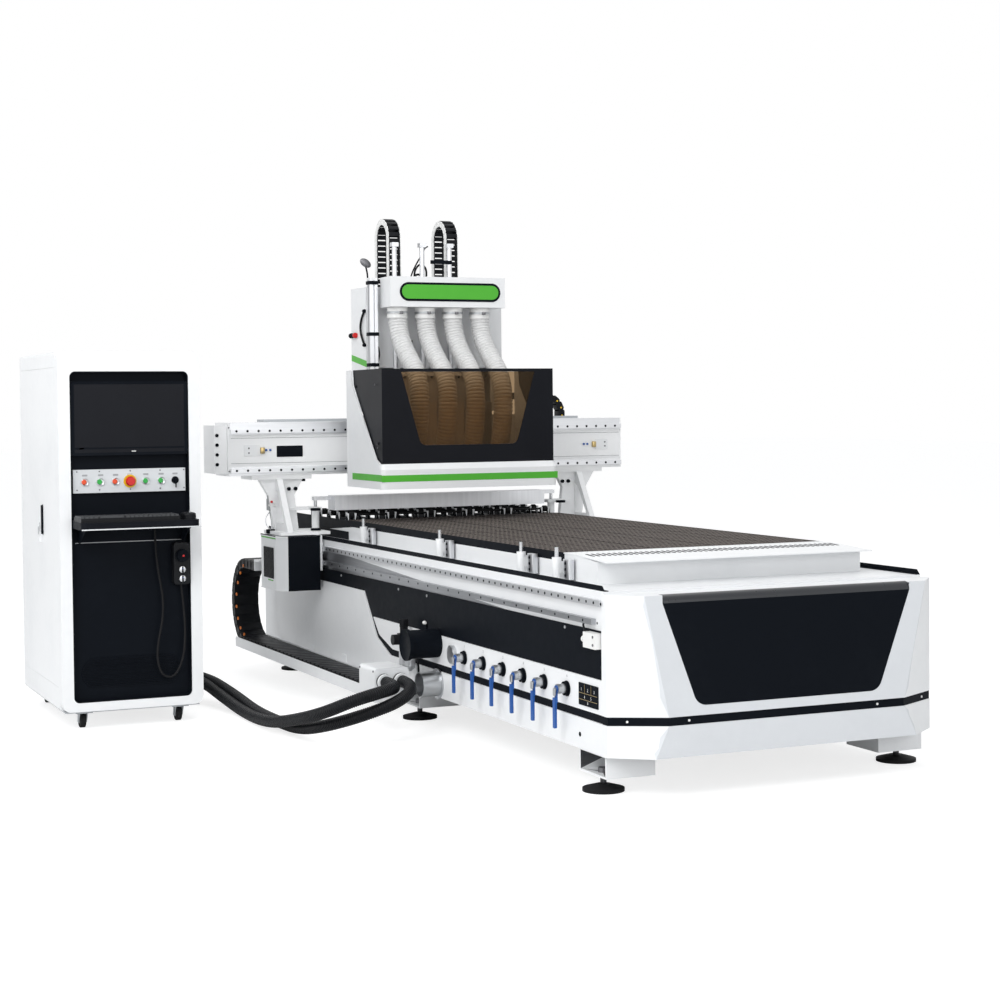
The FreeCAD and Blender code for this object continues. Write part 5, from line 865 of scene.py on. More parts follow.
moves = at_points((CHAIN_X, y, lower_z) for y in steps(run_front + 12, BEND_Y, CHAIN_PITCH))
lower_run = side_chain("side_chain_lower_run", moves, None)
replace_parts(lower_run, "ychain_runs")
place(CHAIN_X, BEND_Y + RUN_REACH, lower_z)
place(CHAIN_X, BEND_Y - RUN_REACH, lower_z)
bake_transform(lower_run)
moves = at_points((CHAIN_X, y, upper_z) for y in steps(3606, BEND_Y, CHAIN_PITCH))
upper_run = side_chain("side_chain_upper_run", moves, None)
place(CHAIN_X, BEND_Y - 200, upper_z)
place(CHAIN_X, BEND_Y + 200, upper_z)
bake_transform(upper_run)
moves = arc_moves((CHAIN_X, BEND_Y, chain_mid), CHAIN_RADIUS, -90, 90, CHAIN_PITCH)
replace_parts(side_chain("side_chain_bend_links", moves, "side_chain_bend"), "ychain_bend")
dots = [(3804, 592), (3865, 548), (3916, 491), (3945, 425), (3949, 357), (3922, 294),
        (3876, 246), (3807, 218)]
copies("side_chain_dots", cap_screw(8.5, 5), [(CHAIN_X0 + 1, y, z) for y, z in dots],
       "side_chain_bend", orange_mark, 35)
cables = [rod((CHAIN_X + x, (run_front + 20 + BEND_Y - 4) / 2, lower_z + z), radius,
              BEND_Y - 4 - (run_front + 20), "Y", 14, 0.5, 1)
          for x, z, radius in ((-40, -2, 10), (-16, 1, 8), (6, -3, 9), (32, 0, 11))]
cables = finish("side_chain_cables", cables, None, rubber)
place(CHAIN_X, BEND_Y + RUN_REACH, lower_z)
place(CHAIN_X, BEND_Y - RUN_REACH, lower_z)
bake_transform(cables)

# %% [markdown]
# The head's own chain lies behind the beam, and two upright chains arch over the head's
# housing. Their links are smaller, with bright side plates on the upright ones. The beam
# chain's bend goes half the head's way.

# %% Beam chain and upright chains
(_, near_y, _), (_, far_y, _) = extent("xchain")
X_MID_Y, X_WIDTH = (near_y + far_y) / 2, far_y - near_y
X_BEND, X_BEND_Z, X_RADIUS, X_PITCH, HALF_WAY = 800, 1397, 105, 44, 90000


def beam_chain(name, moves, start, end):
    link = chain_link(X_WIDTH - 1, X_PITCH, 34, 6)
    made = finish(name, strung(link, moves), None, nylon)
    place(start, 0, 0)
    place(end, 0, 0)
    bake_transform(made)
    return made


def beam_run(z, first):
    places = at_points((x, X_MID_Y, z) for x in steps(first, X_BEND, X_PITCH))
    return [move @ SIDEWAYS for move in places]


carried = beam_chain("beam_chain_carried_run", beam_run(X_BEND_Z + X_RADIUS, 62), 60, 1540)
beam_chain("beam_chain_fixed_run", beam_run(X_BEND_Z - X_RADIUS, -98), 1700, -100)
moves = arc_moves((X_BEND, X_MID_Y, X_BEND_Z), X_RADIUS, -90, 90, X_PITCH, "Y")
beam_chain("beam_chain_bend", moves, X_BEND - HALF_WAY, X_BEND + HALF_WAY)
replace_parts(carried, "xchain")
marks = [(X_BEND + X_RADIUS * math.cos(a), X_MID_Y - X_WIDTH / 2 - 0.5,
          X_BEND_Z + X_RADIUS * math.sin(a)) for a in map(math.radians, (70, 45, 20, -5))]
x_dots = copies("beam_chain_dots", cap_screw(5, 2, "Y"), marks, None, yellow_plastic,
                35)
place(X_BEND - HALF_WAY, 0, 0)
place(X_BEND + HALF_WAY, 0, 0)
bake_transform(x_dots)

Z_TOP, Z_RADIUS, Z_HEIGHT, Z_WIDTH, Z_Y, Z_PITCH = 2452, 90, 34, 72, 3392, 31
z_mid = Z_TOP - Z_RADIUS - Z_HEIGHT / 2
z_low = extent("z_chains")[0][2]
UPRIGHT = Matrix.Rotation(QUARTER, 4, "X")
for number, x in ((1, -277), (2, 53)):
    moves = arc_moves((x, Z_Y, z_mid), Z_RADIUS, 0, 180, Z_PITCH)
    for y in (Z_Y - Z_RADIUS, Z_Y + Z_RADIUS):
        moves += [move @ UPRIGHT
                  for move in at_points((x, y, z) for z in steps(z_low, z_mid, Z_PITCH))]
    plates = strung(chain_link(Z_WIDTH - 1, Z_PITCH, 30, 4, bars=False), moves)
    finish(f"upright_chain_plates_{number}", plates, "head", white_plastic)
    cores = strung(chain_link(Z_WIDTH - 10, 30, 30, 5), moves)
    finish(f"upright_chain_cores_{number}", cores, "head", nylon)
    if number == 1:
        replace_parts(cores, "z_chains")

# %% [markdown]
# The control cabinet's face is a dark recess. The monitor has a moulded frame round its
# glass, with a small lamp in the frame's lower edge.

# %% Monitor frame
CABINET_X, FASCIA_Y, STRIP_Y = -1911, 2438, 2422
frame_slab = slab((CABINET_X - 266, 2402.2, 1239), (CABINET_X + 266, 2414, 1575), "Y", 7, 4)
finish("monitor_frame", sunk(frame_slab, "Y", (16,), 2.2), "machine", satin_black)
glass = slab((CABINET_X - 250, 2404, 1276), (CABINET_X + 250, 2405, 1560), "Y", 2, 2, 0.3)
finish("monitor_glass", glass, "machine", lamp_glass.material)
lamp = strip((CABINET_X + 6, 2401.8, 1255), (CABINET_X + 26, 2403, 1259))
finish("monitor_lamp", lamp, "machine", white_plastic)

# %% [markdown]
# Each button has a bright ring round its cap and a dark name tag above it, which stays
# bare here. The stop button stands on a yellow disc, as the safety rules ask. Small
# screws hold the strip.

# %% Button strip
BUTTONS, SWITCH_X, BUTTON_Z = [-2116, -2044, -1976, -1837, -1766], -1701, 1120
copies("button_collars", ring(15.6, 12.2, 3), [(x, STRIP_Y - 6.5, BUTTON_Z) for x in BUTTONS],
       "machine", zinc)
copies("key_collar", ring(17, 13.6, 3), [(SWITCH_X, STRIP_Y - 1.5, BUTTON_Z)], "machine",
       satin_black)
copies("stop_button_disc", ring(30, 24, 2), [(CABINET_X, STRIP_Y - 3.5, BUTTON_Z)],
       "machine", yellow_plastic)
tags = [slab((x - 12, STRIP_Y - 1.2, 1146), (x + 12, STRIP_Y, 1154), "Y", 1.5, 2, 0.3)
        for x in BUTTONS + [CABINET_X, SWITCH_X]]
finish("button_tags", tags, "machine", soft_grey)
strip_screws = [(x, STRIP_Y - 1.2, z) for x in (-2152, -2050, -1909, -1771, -1660)
                for z in (1167, 1084)]
copies("strip_screws", cap_screw(3.2, 3, "Y"), strip_screws, "machine", bolt_steel)

# %% [markdown]
# The field near the cabinet's foot is pressed into many fine ridges that let warm air
# out. The ridges near its top and bottom are shorter, so that its ends are round.

# %% Air ridges
FIELD_Z, FIELD_HALF, FIELD_HEIGHT = 250, 228, 66
ridges = []
for z in spread(FIELD_Z - 60, FIELD_Z + 60, 17):
    arc = math.sqrt(max(0.0, (FIELD_HEIGHT - 3) ** 2 - (z - FIELD_Z) ** 2))
    half = FIELD_HALF - FIELD_HEIGHT + arc
    ridges.append(slab((CABINET_X - half, FASCIA_Y - 5, z - 2.2),
                       (CABINET_X + half, FASCIA_Y - 1, z + 2.2), "Y", 2.1, 3, 0.6))
finish("air_ridges", ridges, "machine", satin_black)
field_rim = slab((CABINET_X - 232, FASCIA_Y - 2.4, FIELD_Z - 70),
                 (CABINET_X + 232, FASCIA_Y, FIELD_Z + 70), "Y", 69, 12)
finish("field_rim", sunk(field_rim, "Y", (5,), 2), "machine", satin_black)

# %% [markdown]
# The keyboard is a tray of small caps. One cap is a block with a dished, smaller top;
# the rows are its copies, with a wide space bar in the front row.


# %% Keyboard and mouse
TOP_SHARE, RIM_SHARE, DISH = 0.82, 0.12, 0.4


def key_cap(width, depth, height):
    cap = cube((0, 0, 0), (width * MM, depth * MM, height * MM))
    pick(cap, "FACE", lambda f: f.normal.z > 0.9)
    bpy.ops.transform.resize(value=(TOP_SHARE, TOP_SHARE, 1))
    bpy.ops.mesh.inset(thickness=min(width, depth) * RIM_SHARE * MM)
    bpy.ops.transform.translate(value=(0, 0, -DISH * MM))
    done_editing()
    return cap


KEY_LEFT, KEY_FRONT, KEY_TOP, KEY_STEP, ROW_STEP = -2170, 2228, 970, 20.2, 22.5
SPACE_COLUMNS = range(4, 10)
key_places = [(KEY_LEFT + column * KEY_STEP, KEY_FRONT + row * ROW_STEP, KEY_TOP)
              for row in range(6) for column in range(22)
              if row or column not in SPACE_COLUMNS]
copies("keyboard_caps", key_cap(18, 18, 8), key_places, "machine", key_grey)
copies("keyboard_space_bar", key_cap(112, 17, 7),
       [(KEY_LEFT + 6.5 * KEY_STEP, KEY_FRONT, KEY_TOP)], "machine", key_grey)
mouse_wheel = rod((-1683, 2236, 980), 7, 5, "X", 20, 1)
finish("mouse_wheel", mouse_wheel, "machine", soft_grey)

# %% [markdown]
# The door has a long pull recess and a lock, with two keys left in it.

# %% Door lock and keys
copies("door_lock", ring(11, 8, 4, "X"), [(-2237, 2880, 908)], "door", zinc)
keys = [slab((-2243 - i, 2874 + 4 * i, 862), (-2241.6 - i, 2886 + 4 * i, 900), "X", 4, 4, 0.3)
        for i in range(2)]
finish("door_keys", keys, "door", zinc)
pull = slab((-2238, 2789, 865), (-2236.6, 2806, 1007), "X", 7, 6, 0.4)
finish("door_pull_recess", pull, "door", satin_black)

# %% [markdown]
# The hand pendant carries a graduated ring round its wheel, with a red dot in the
# middle, and two selector knobs with a blue pointer.

# %% Pendant
(pendant_x0, pendant_y, _), (pendant_x1, _, _) = extent("pendant")
(_, wheel_y, wheel_z0), (_, _, wheel_z1) = extent("handwheel")
pendant_x, wheel_z = (pendant_x0 + pendant_x1) / 2, (wheel_z0 + wheel_z1) / 2
copies("handwheel_dial", ring(27, 20, 1.6), [(pendant_x, wheel_y - 0.2, wheel_z)],
       "pendant_wheel", satin_black)
wheel_dot = rod((pendant_x, wheel_y - 1.2, wheel_z), 5, 2.4, "Y", 20, 0.6)
finish("wheel_dot", wheel_dot, "pendant_wheel", red_plastic)
for number, z in ((1, 709), (2, 667)):
    knob = rod((pendant_x, pendant_y + 8, z), 15, 3, "Y", 32, 0.6)
    finish(f"selector_ring_{number}", knob, "machine", alloy)
    dot = rod((pendant_x, pendant_y - 0.6, z + 5), 2.6, 1.6, "Y", 14, 0.3)
    finish(f"selector_dot_{number}", dot, "machine", blue_plastic)

# %% [markdown]
# Casters: each wheel runs in a fork of grey sheet. The forks and the plates are packed
# already, so only the round hub covers are added.

# %% Caster hubs
for word, y in (("front", 2480), ("rear", 3303)):
    hubs = [rod((x + side * 12.4, y, 34), 15, 2.2, "X", 24, 0.6)
            for x in (-2133, -1689) for side in (-1, 1)]
    finish(f"caster_hubs_{word}", hubs, f"casters_{word}", soft_grey)

# %% [markdown]
# Along both sides of the bed a linear rail and a toothed rack run the whole length. The
# rail is bolted every 60 mm and the rack every 120 mm. The bolt heads sit in counterbores,
# which show as dark rings.

# %% Rail bolts and rack bolts
SIDES = [(-1, "left"), (1, "right")]
RAIL_FACE, RAIL_LENGTH = 726.4, 4020
for side, word in SIDES:
    outward = Matrix.Rotation(0 if side < 0 else math.pi, 4, "Z")
    for name, z, pitch, radius, inner in (("rail", 714, 60, 5.6, 3.4), ("rack", 641, 120, 5, 3)):
        places = [(side * RAIL_FACE, y, z) for y in range(pitch // 2, RAIL_LENGTH, pitch)]
        bolts = strung(ring(radius, inner, 1.2, "X", 12),
                       [move @ outward for move in at_points(places)])
        finish(f"{name}_bolts_{word}", bolts, "machine", satin_black, angle=30)

# %% [markdown]
# Six ball valves feed the six vacuum zones. Their numbers, and those on the zone plate,
# are made as text that is turned into mesh.


# %% Zone numbers
NUMBER_SIZE, NUMBER_DEPTH = 17, 0.25


def number_mark(name, text, at, material):
    clear_selection()
    bpy.ops.object.text_add(location=(0, 0, 0))
    letters = bpy.context.object.data
    letters.body = text
    letters.size = NUMBER_SIZE * MM
    letters.extrude = NUMBER_DEPTH * MM
    letters.align_x = letters.align_y = "CENTER"
    bpy.ops.object.convert(target="MESH")
    mark = bpy.context.object
    facing = Matrix.Rotation(-QUARTER, 4, "Z") @ UPRIGHT
    mark.data.transform(Matrix.Translation(place(*at)) @ facing)
    finish(name, mark, "machine", material, angle=30)


VALVE_Y, VALVE_Z, PANEL_X, PLATE_X = [1343, 1140, 936, 735, 538, 335], 363, -718.5, -721.5
ZONE_CELLS = [(206, 378), (153, 378), (100, 378), (180, 350), (126, 350), (153, 330)]
for number, y in enumerate(VALVE_Y, 1):
    number_mark(f"valve_number_{number}", str(number), (PANEL_X + 0.2, y, VALVE_Z + 48), soft_grey)
for number, (y, z) in enumerate(ZONE_CELLS, 1):
    number_mark(f"zone_plate_{number}", str(number), (PLATE_X, y, z), white_plastic)
lines = [strip((PLATE_X - 0.3, y0, z0), (PLATE_X + 0.6, y1, z1), 0.2) for y0, z0, y1, z1 in (
    (125.2, 362, 126.8, 398), (179.2, 362, 180.8, 398), (76, 363, 230, 365), (76, 339, 230, 341))]
finish("zone_plate_lines", lines, "machine", brass_like)

# %% [markdown]
# Each valve has a turned black flange on the panel, a bright hexagon nut, and a lever
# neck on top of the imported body.

# %% Valve bosses
copies("valve_bosses", ring(30, 21, 4, "X", 36), [(PANEL_X - 2, y, VALVE_Z) for y in VALVE_Y],
       "machine", satin_black)
copies("valve_nuts", cap_screw(15, 9, "X", 6), [(-742, y, VALVE_Z) for y in VALVE_Y],
       "machine", zinc)
for number, y in enumerate(VALVE_Y, 1):
    neck = slab((-776, y - 8, VALVE_Z - 25), (-770, y + 8, VALVE_Z + 5), "X", 6, 4, 0.8)
    finish(f"lever_neck_{number}", neck, f"valve_{number}", zinc)

# %% [markdown]
# The gantry beam shows two rails with bolts every 60 mm, a drive cover with four bolts at
# its left end, and small plates for the travel switches. Where the photograph shows a
# printed sign, a plain black plate stays bare.

# %% Beam bolts and plates
BEAM_Y, RAIL_FRONT = 3451, 3431
beam_bolts = [(-1115 + 60 * i, RAIL_FRONT - 0.3, z) for i in range(38) for z in (1327, 1120)]
copies("beam_rail_bolts", ring(6.4, 5.2, 1.4, "Y", 12), beam_bolts, "gantry", satin_black)
copies("drive_cover_bolts", cap_screw(9, 6, "Y"),
       [(-1210, 3467, z) for z in (1306, 1256, 1205, 1154)], "gantry", satin_black)
copies("flange_screws", cap_screw(4, 4, "Y"), [(-1151, BEAM_Y - 1.5, z) for z in (1346, 1118)],
       "gantry", bolt_steel)
plates = [slab((x0, BEAM_Y - 2.4, 1195), (x1, BEAM_Y, z1), "Y", 4, 4)
          for x0, x1, z1 in ((-1070, -982, 1255), (989, 1067, 1254))]
finish("switch_plates", plates, "gantry", white)
plate_screws = [(x, BEAM_Y - 3, z) for x, z in ((-1044, 1237), (-1044, 1212), (1048, 1236),
                                                (1048, 1213))]
copies("switch_plate_screws", cap_screw(4.6, 2.4, "Y"), plate_screws, "gantry", bolt_steel)
sensors = [block((x, BEAM_Y - 14, 1208), (x + 22, BEAM_Y, 1240), 2) for x in (-982, 966)]
finish("travel_sensors", sensors, "gantry", brass_like)
stops = [rod((x, BEAM_Y - 4, 1226), 6, 8, "Y", 20, 1.2) for x in (-950, -928, 937, 915)]
finish("sensor_stops", stops, "gantry", blue_plastic)
sign = slab((-892, BEAM_Y - 1.6, 1188), (-748, BEAM_Y, 1247), "Y", 3, 3)
finish("blank_sign", sign, "gantry", satin_black)
face_lines = [strip((-1140, BEAM_Y - 0.8, z - 1.2), (1140, BEAM_Y, z + 1.2))
              for z in (1290, 1158)]
finish("beam_face_lines", face_lines, "gantry", soft_grey)

# %% [markdown]
# Cap screws hold each leg's flange under the beam, and two more go through its web. A
# socket is pressed into each head that shows.

# %% Leg bolts
under = [(side * x, y, 1063) for side in (-1, 1) for x in (937, 737) for y in (3485, 3610)]
through = [(side * x, 3464, 1018) for side in (-1, 1) for x in (823, 786)]
flange_screw = rod((ORIGIN_X, ORIGIN_Y, 0), 12, 15, "Z", 20, 1.5)
copies("leg_flange_screws", flange_screw, under, "gantry", satin_black)
copies("leg_web_screws", cap_screw(10, 11, "Y"), through, "gantry", satin_black)

# %% [markdown]
# A small grey box on the left leg carries push buttons, and a wire loop hangs under it.
# The lift cylinders beside the legs have dark end caps.


# %% Leg box and lift cylinders
def tube_along(points, size):
    line = spline("line", points)
    line.data.bevel_depth = size / 2 * MM
    line.data.bevel_resolution = 4
    line.data.resolution_u = 10
    line.data.use_fill_caps = True
    active(line)
    bpy.ops.object.convert(target="MESH")
    return bpy.context.object


copies("leg_box_button_red", cap_screw(6.5, 6, "Y"), [(-919, 3464, 952)], "gantry",
       red_plastic)
copies("leg_box_buttons_white", cap_screw(6.5, 6, "Y"),
       [(-930, 3464, 934), (-905, 3464, 934)], "gantry", white_plastic)
wire = tube_along([(-912, 3500, 904), (-940, 3490, 880), (-952, 3478, 848), (-940, 3468, 815),
                   (-915, 3466, 800), (-895, 3480, 790), (-890, 3490, 782)], 5)
finish("wire_loop", wire, "gantry", alloy, angle=40)
gland = rod((-925, 3470, 796), 24, 22, "Z", 28, 3)
finish("housing_gland", gland, "gantry", satin_black)
for side, word in SIDES:
    for low, high in ((801, 812), (905, 918)):
        cap = rod((side * 716, 3345, (low + high) / 2), 27, high - low, "Z", 32, 1.5)
        finish(f"lift_cap_{word}_{low}", cap, "gantry", satin_black)

# %% [markdown]
# The drive housing's outer side has a woven mesh vent with a green line under it, and its
# lid has a dark edge with a second green line. The mesh is two sets of thin bars.

# %% Drive housing trim
VENT_Y0, VENT_Y1, VENT_Z0, VENT_Z1, WIRE = 3302, 3468, 562, 718, 1.1
for side, word in SIDES:
    x0, x1 = sorted((side * 965.6, side * 964.4))
    wires = [strip((x0, y - WIRE, VENT_Z0), (x1, y + WIRE, VENT_Z1), 0.3)
             for y in spread(VENT_Y0 + 2, VENT_Y1 - 2, 28)]
    wires += [strip((x0, VENT_Y0, z - WIRE), (x1, VENT_Y1, z + WIRE), 0.3)
              for z in spread(VENT_Z0 + 2, VENT_Z1 - 2, 26)]
    finish(f"vent_mesh_{word}", wires, "gantry", black_plastic, 30)
    x0, x1 = sorted((side * 963.2, side * 962))
    lines = [strip((x0, 3312, 546), (x1, 3400, 552), 0.3),
             strip((x0, 3266, 766), (x1, 3516, 774), 0.3)]
    finish(f"drive_green_lines_{word}", lines, "gantry", green)
    edges = []
    for near, far, y0, y1 in ((741.2, 915.8, 3198.4, 3200), (963.4, 965, 3261.2, 3520.8)):
        x0, x1 = sorted((side * near, side * far))
        edges.append(strip((x0, y0, 776), (x1, y1, 785), 0.3))
    finish(f"drive_lid_edge_{word}", edges, "gantry", satin_black)

# %% [markdown]
# On the housing's left side an air line bends from the post to a quick coupling, over a
# slanted green flash. A round mirror stands on a stalk behind the post.

# %% Housing side
SIDE_X = -446
flash = strip((SIDE_X - 1.2, 3276, 1657), (SIDE_X, 3508, 1690))
pick(flash, "VERT", lambda v: v.co.y > place(0, 3400, 0).y)
bpy.ops.transform.translate(value=(0, 0, 39 * MM))
done_editing()
finish("slanted_flash", flash, "head", green)
air_line = tube_along([(SIDE_X - 9, y, z) for y, z in (
    (3284, 1950), (3316, 1925), (3345, 1880), (3338, 1838), (3312, 1805), (3288, 1778))], 12)
finish("air_line", air_line, "head", black_plastic, 50)
elbows = [rod((SIDE_X - 8, y, z), 10, 16, "Y", 20, 2) for y, z in ((3284, 1953), (3286, 1774))]
finish("air_line_elbows", elbows, "head", satin_black)
coupling = [rod((SIDE_X - 11, y, 1830), radius, length, "Y", 24, 2)
            for y, radius, length in ((3455, 11, 60), (3478, 14, 22))]
finish("quick_coupling", coupling, "head", satin_black)
coupling_ring = rod((SIDE_X - 11, 3418, 1830), 14.5, 14, "Y", 24, 2)
finish("coupling_ring", coupling_ring, "head", red_plastic)
stalk = tube_along([(-392, 3392, 2079), (-392, 3392, 2120), (-394, 3392, 2160),
                    (-400, 3394, 2190), (-404, 3398, 2206)], 9)
finish("mirror_stalk", stalk, "head", satin_black, 50)
mirror_at = place(-404, 3392, 2215)
clear_selection()
bpy.ops.mesh.primitive_uv_sphere_add(segments=40, ring_count=20, radius=34 * MM,
                                     location=mirror_at)
mirror = settled()
pick(mirror, "VERT", lambda v: True)
bpy.ops.transform.resize(value=(1, 0.22, 0.62), center_override=mirror_at)
bpy.ops.transform.rotate(value=math.radians(-32), orient_axis="Y", center_override=mirror_at)
done_editing()
finish("round_mirror", mirror, "head", bolt_steel, angle=40)

# %% [markdown]
# Three slim cylinders stand above the manifold. A black bar joins two of them, and cables
# loop between the two upright chains.

# %% Cylinder bar and cable loops
cross_bar = slab((-92, 3237, 2206), (32, 3241, 2226), "Y", 3, 3)
finish("cylinder_bar", cross_bar, "head", satin_black)
loops = [
    tube_along([(-150, 3330, 2082), (-150, 3330, 2130), (-150, 3322, 2180), (-120, 3316, 2214),
                (-88, 3312, 2190), (-84, 3316, 2140), (-100, 3322, 2100), (-118, 3328, 2082)],
               11),
    tube_along([(-170, 3340, 2082), (-158, 3344, 2128), (-130, 3346, 2160), (-98, 3344, 2150),
                (-84, 3340, 2112), (-80, 3336, 2082)], 12),
    tube_along([(-176, 3352, 2082), (-160, 3356, 2150), (-128, 3350, 2216), (-100, 3340, 2262),
                (-92, 3330, 2290), (-95, 3290, 2300), (-95, 3272, 2300)], 8)]
finish("head_cable_loops", loops, "head", black_plastic, 50)

# %% [markdown]
# Under the manifold the drive cables and hoses of the slide hang in dark bunches behind the
# clear hoses. They are short tubes that go from the housing's slot to the slide.

# %% Cables behind the hoses
THICK_LEAD = [(0, 3270, 1790), (0, 3244, 1775), (12, 3226, 1730), (4, 3222, 1680),
              (-6, 3232, 1640), (-6, 3262, 1600)]
THIN_LEAD = [(18, 3270, 1810), (18, 3250, 1790), (34, 3236, 1740), (26, 3236, 1690),
             (20, 3262, 1650)]
BUNCHES = (-420, -232, -78, 80, 236)
leads = [tube_along([(middle + x, y, z) for x, y, z in route], size)
         for middle in BUNCHES for route, size in ((THICK_LEAD, 13), (THIN_LEAD, 9))]
finish("slide_cable_bunches", leads, "head", black_plastic, 50)
grips = [block((x + 2, 3255, 1742), (x + 40, 3275, 1800), 3) for x in BUNCHES[1:]]
finish("slide_cable_grips", grips, "head", satin_black)

# %% [markdown]
# The screen's edge is a folded flange with small screws on its left return.

# %% Screen screws
screen_x = extent("head_screen")[0][0] - 1
copies("screen_screws", cap_screw(4.5, 3), [(screen_x, 2900, 1560), (screen_x, 2870, 1240)],
       "head", bolt_steel)

# %% [markdown]
# The front lip guides offcuts over the box. Black pieces paint the shade in the hollow
# behind it and in the row of slots on its slope. Four pale screws hold the stripe, two of
# them on the corner facets, and four the side's band.

# %% Lip slots and stripe screws
FRONT_Y, FACET_X, FACET_RUN = -107, 520, 200
LIP_DROP, LIP_DEPTH, SLOT_WIDTH, SLOT_LENGTH, SLOT_COUNT = 14, 260, 11, 72, 48
# Painted shade: a black strip lies in the hollow behind the lip.
hollow_shade = strip((-572, 540, 852.6), (572, 562, 857.2), 0.6)
finish("lip_hollow_painted_shade", hollow_shade, "machine", satin_black)
slope = Matrix.Rotation(math.atan(LIP_DROP / LIP_DEPTH), 4, "X")
# Painted shade: a black oval sits in each slot on the lip's slope.
slot = slab((ORIGIN_X - SLOT_WIDTH / 2, ORIGIN_Y - SLOT_LENGTH / 2, -0.5),
            (ORIGIN_X + SLOT_WIDTH / 2, ORIGIN_Y + SLOT_LENGTH / 2, 0.5), "Z", 5.3, 5, 0)
moves = [move @ slope
         for move in at_points((x, 436, 860) for x in spread(-564, 564, SLOT_COUNT))]
finish("lip_slots_painted_shade", strung(slot, moves), "machine", satin_black)
moves = []
for x, turned in ((-655, -28), (-436, 0), (394, 0), (655, 28)):
    y = FRONT_Y * (1 - max(0, abs(x) - FACET_X) / FACET_RUN)
    moves.append(Matrix.Translation(place(x, y - 1, 284))
                 @ Matrix.Rotation(math.radians(turned), 4, "Z"))
finish("stripe_screws", strung(cap_screw(4.6, 3, "Y"), moves), "machine", white_plastic,
       angle=30)
band_screws = [(-713, y, z) for y, z in ((2956, 593), (2144, 591), (1786, 591), (360, 596))]
copies("band_screws", cap_screw(6, 3), band_screws, "machine", soft_grey)
copies("side_plug", ring(9, 7, 2, "X"), [(-718.6, 226, 204)], "machine", satin_black)

# %% [markdown]
# The stop pins ride in clamps on the table's side. Each clamp is a grey profile with a
# dark slot, in which black adjusting screws sit.

# %% Pin clamps
CLAMP_INNER, CLAMP_OUTER, CLAMP_LOW, CLAMP_HIGH = 609, 634, 762, 842
clamps, clamp_slots, clamp_screws = [], [], []
for y in (576, 911, 1797, 2811):
    for side, _ in SIDES:
        x0, x1 = sorted((side * CLAMP_INNER, side * CLAMP_OUTER))
        clamps.append(slab((x0, y - 92, CLAMP_LOW), (x1, y - 40, CLAMP_HIGH), "Z", 3, 3))
        x0, x1 = sorted((side * CLAMP_OUTER, side * (CLAMP_OUTER + 1.5)))
        clamp_slots.append(slab((x0, y - 74, CLAMP_LOW + 4), (x1, y - 56, CLAMP_HIGH - 4), "X",
                                4, 3, 0.3))
        clamp_screws += [rod((side * (CLAMP_OUTER + 2), y - 65, z), 6, 5, "X", 16, 1.2)
                         for z in (778, 802, 826)]
finish("pin_clamps", clamps, "machine", alloy)
finish("pin_clamp_slots", clamp_slots, "machine", bolt_steel)
finish("pin_clamp_screws", clamp_screws, "machine", satin_black)

# %% [markdown]
# The air preparation unit has a black regulator knob and bowls in metal guards. The sides
# of both are inset facet by facet and drawn in. A black lead drops from the unit to the
# foot. The drum has a rolled rim, and the gauge a dial with a needle and ticks.


# %% Air unit, drum and gauge
def panelled(obj, inset, share, middle):
    """Each side face of a round bar gets an inset panel that is drawn in."""
    pick(obj, "FACE", lambda f: abs(f.normal.z) < 0.2 and f.area > 1e-5)
    bpy.ops.mesh.inset(thickness=inset * MM, use_individual=True)
    bpy.ops.transform.resize(value=(share, share, 1), center_override=place(*middle))
    done_editing()
    return obj


for number, middle in ((1, (-757, 1890, 306)), (2, (-757, 1964, 306))):
    guard = panelled(rod(middle, 24.5, 82, "Z", 28, 1.5), 1.4, 0.96, middle)
    finish(f"bowl_guard_{number}", guard, "machine", alloy, angle=30)
middle = (-757, 1964, 452)
knurl = panelled(rod(middle, 20.5, 36, "Z", 24, 2), 0.8, 0.94, middle)
finish("regulator_knurl", knurl, "machine", black_plastic, 30)
copies("drum_front_rim", ring(71, 62, 6, "X", 48), [(-870, 1655, 392)], "machine",
       satin_black)
elbow = tube_along([(-760, 1672, 452), (-760, 1672, 468), (-763, 1668, 478),
                    (-772, 1660, 484)], 10)
finish("drum_elbow", elbow, "machine", satin_black, 50)
finish("elbow_tip", rod((-778, 1655, 486), 8, 14, "Y", 18, 1.5), "machine", white_plastic)
unit_lead = tube_along([(-745, 1850, 336), (-745, 1830, 300), (-742, 1822, 262),
                        (-738, 1836, 220), (-736, 1862, 188), (-734, 1884, 170),
                        (-726, 1890, 172), (-718, 1888, 186), (-716, 1880, 200)], 10)
finish("air_unit_lead", unit_lead, "machine", black_plastic, 50)
GAUGE_Y, GAUGE_Z, TICK_RADIUS = 1465, 363, 28
copies("gauge_bezel", ring(36, 33, 1.4, "X"), [(-735, GAUGE_Y, GAUGE_Z)], "machine", alloy)
dial = rod((-730.9, GAUGE_Y, GAUGE_Z), 34, 1.6, "X", 40, 0.3, 1)
finish("gauge_dial", dial, "machine", white_plastic)
needle = slab((-732.7, 1464, 352), (-731.9, 1466.6, 388), "X", 1, 2, 0.2)
finish("gauge_needle", needle, "machine", satin_black)
ticks = []
for angle in map(math.radians, range(-40, 221, 20)):
    y, z = GAUGE_Y + TICK_RADIUS * math.cos(angle), GAUGE_Z + TICK_RADIUS * math.sin(angle)
    ticks.append(strip((-732.4, y - 1.4, z - 1.4), (-731.6, y + 1.4, z + 1.4), 0.2))
finish("gauge_ticks", ticks, "machine", satin_black)

# %% [markdown]
# The limit switch box by the front corner has two screws, a round adjusting knob and a
# short black lead. The junction box has screws on its lid and glands at its tubes.

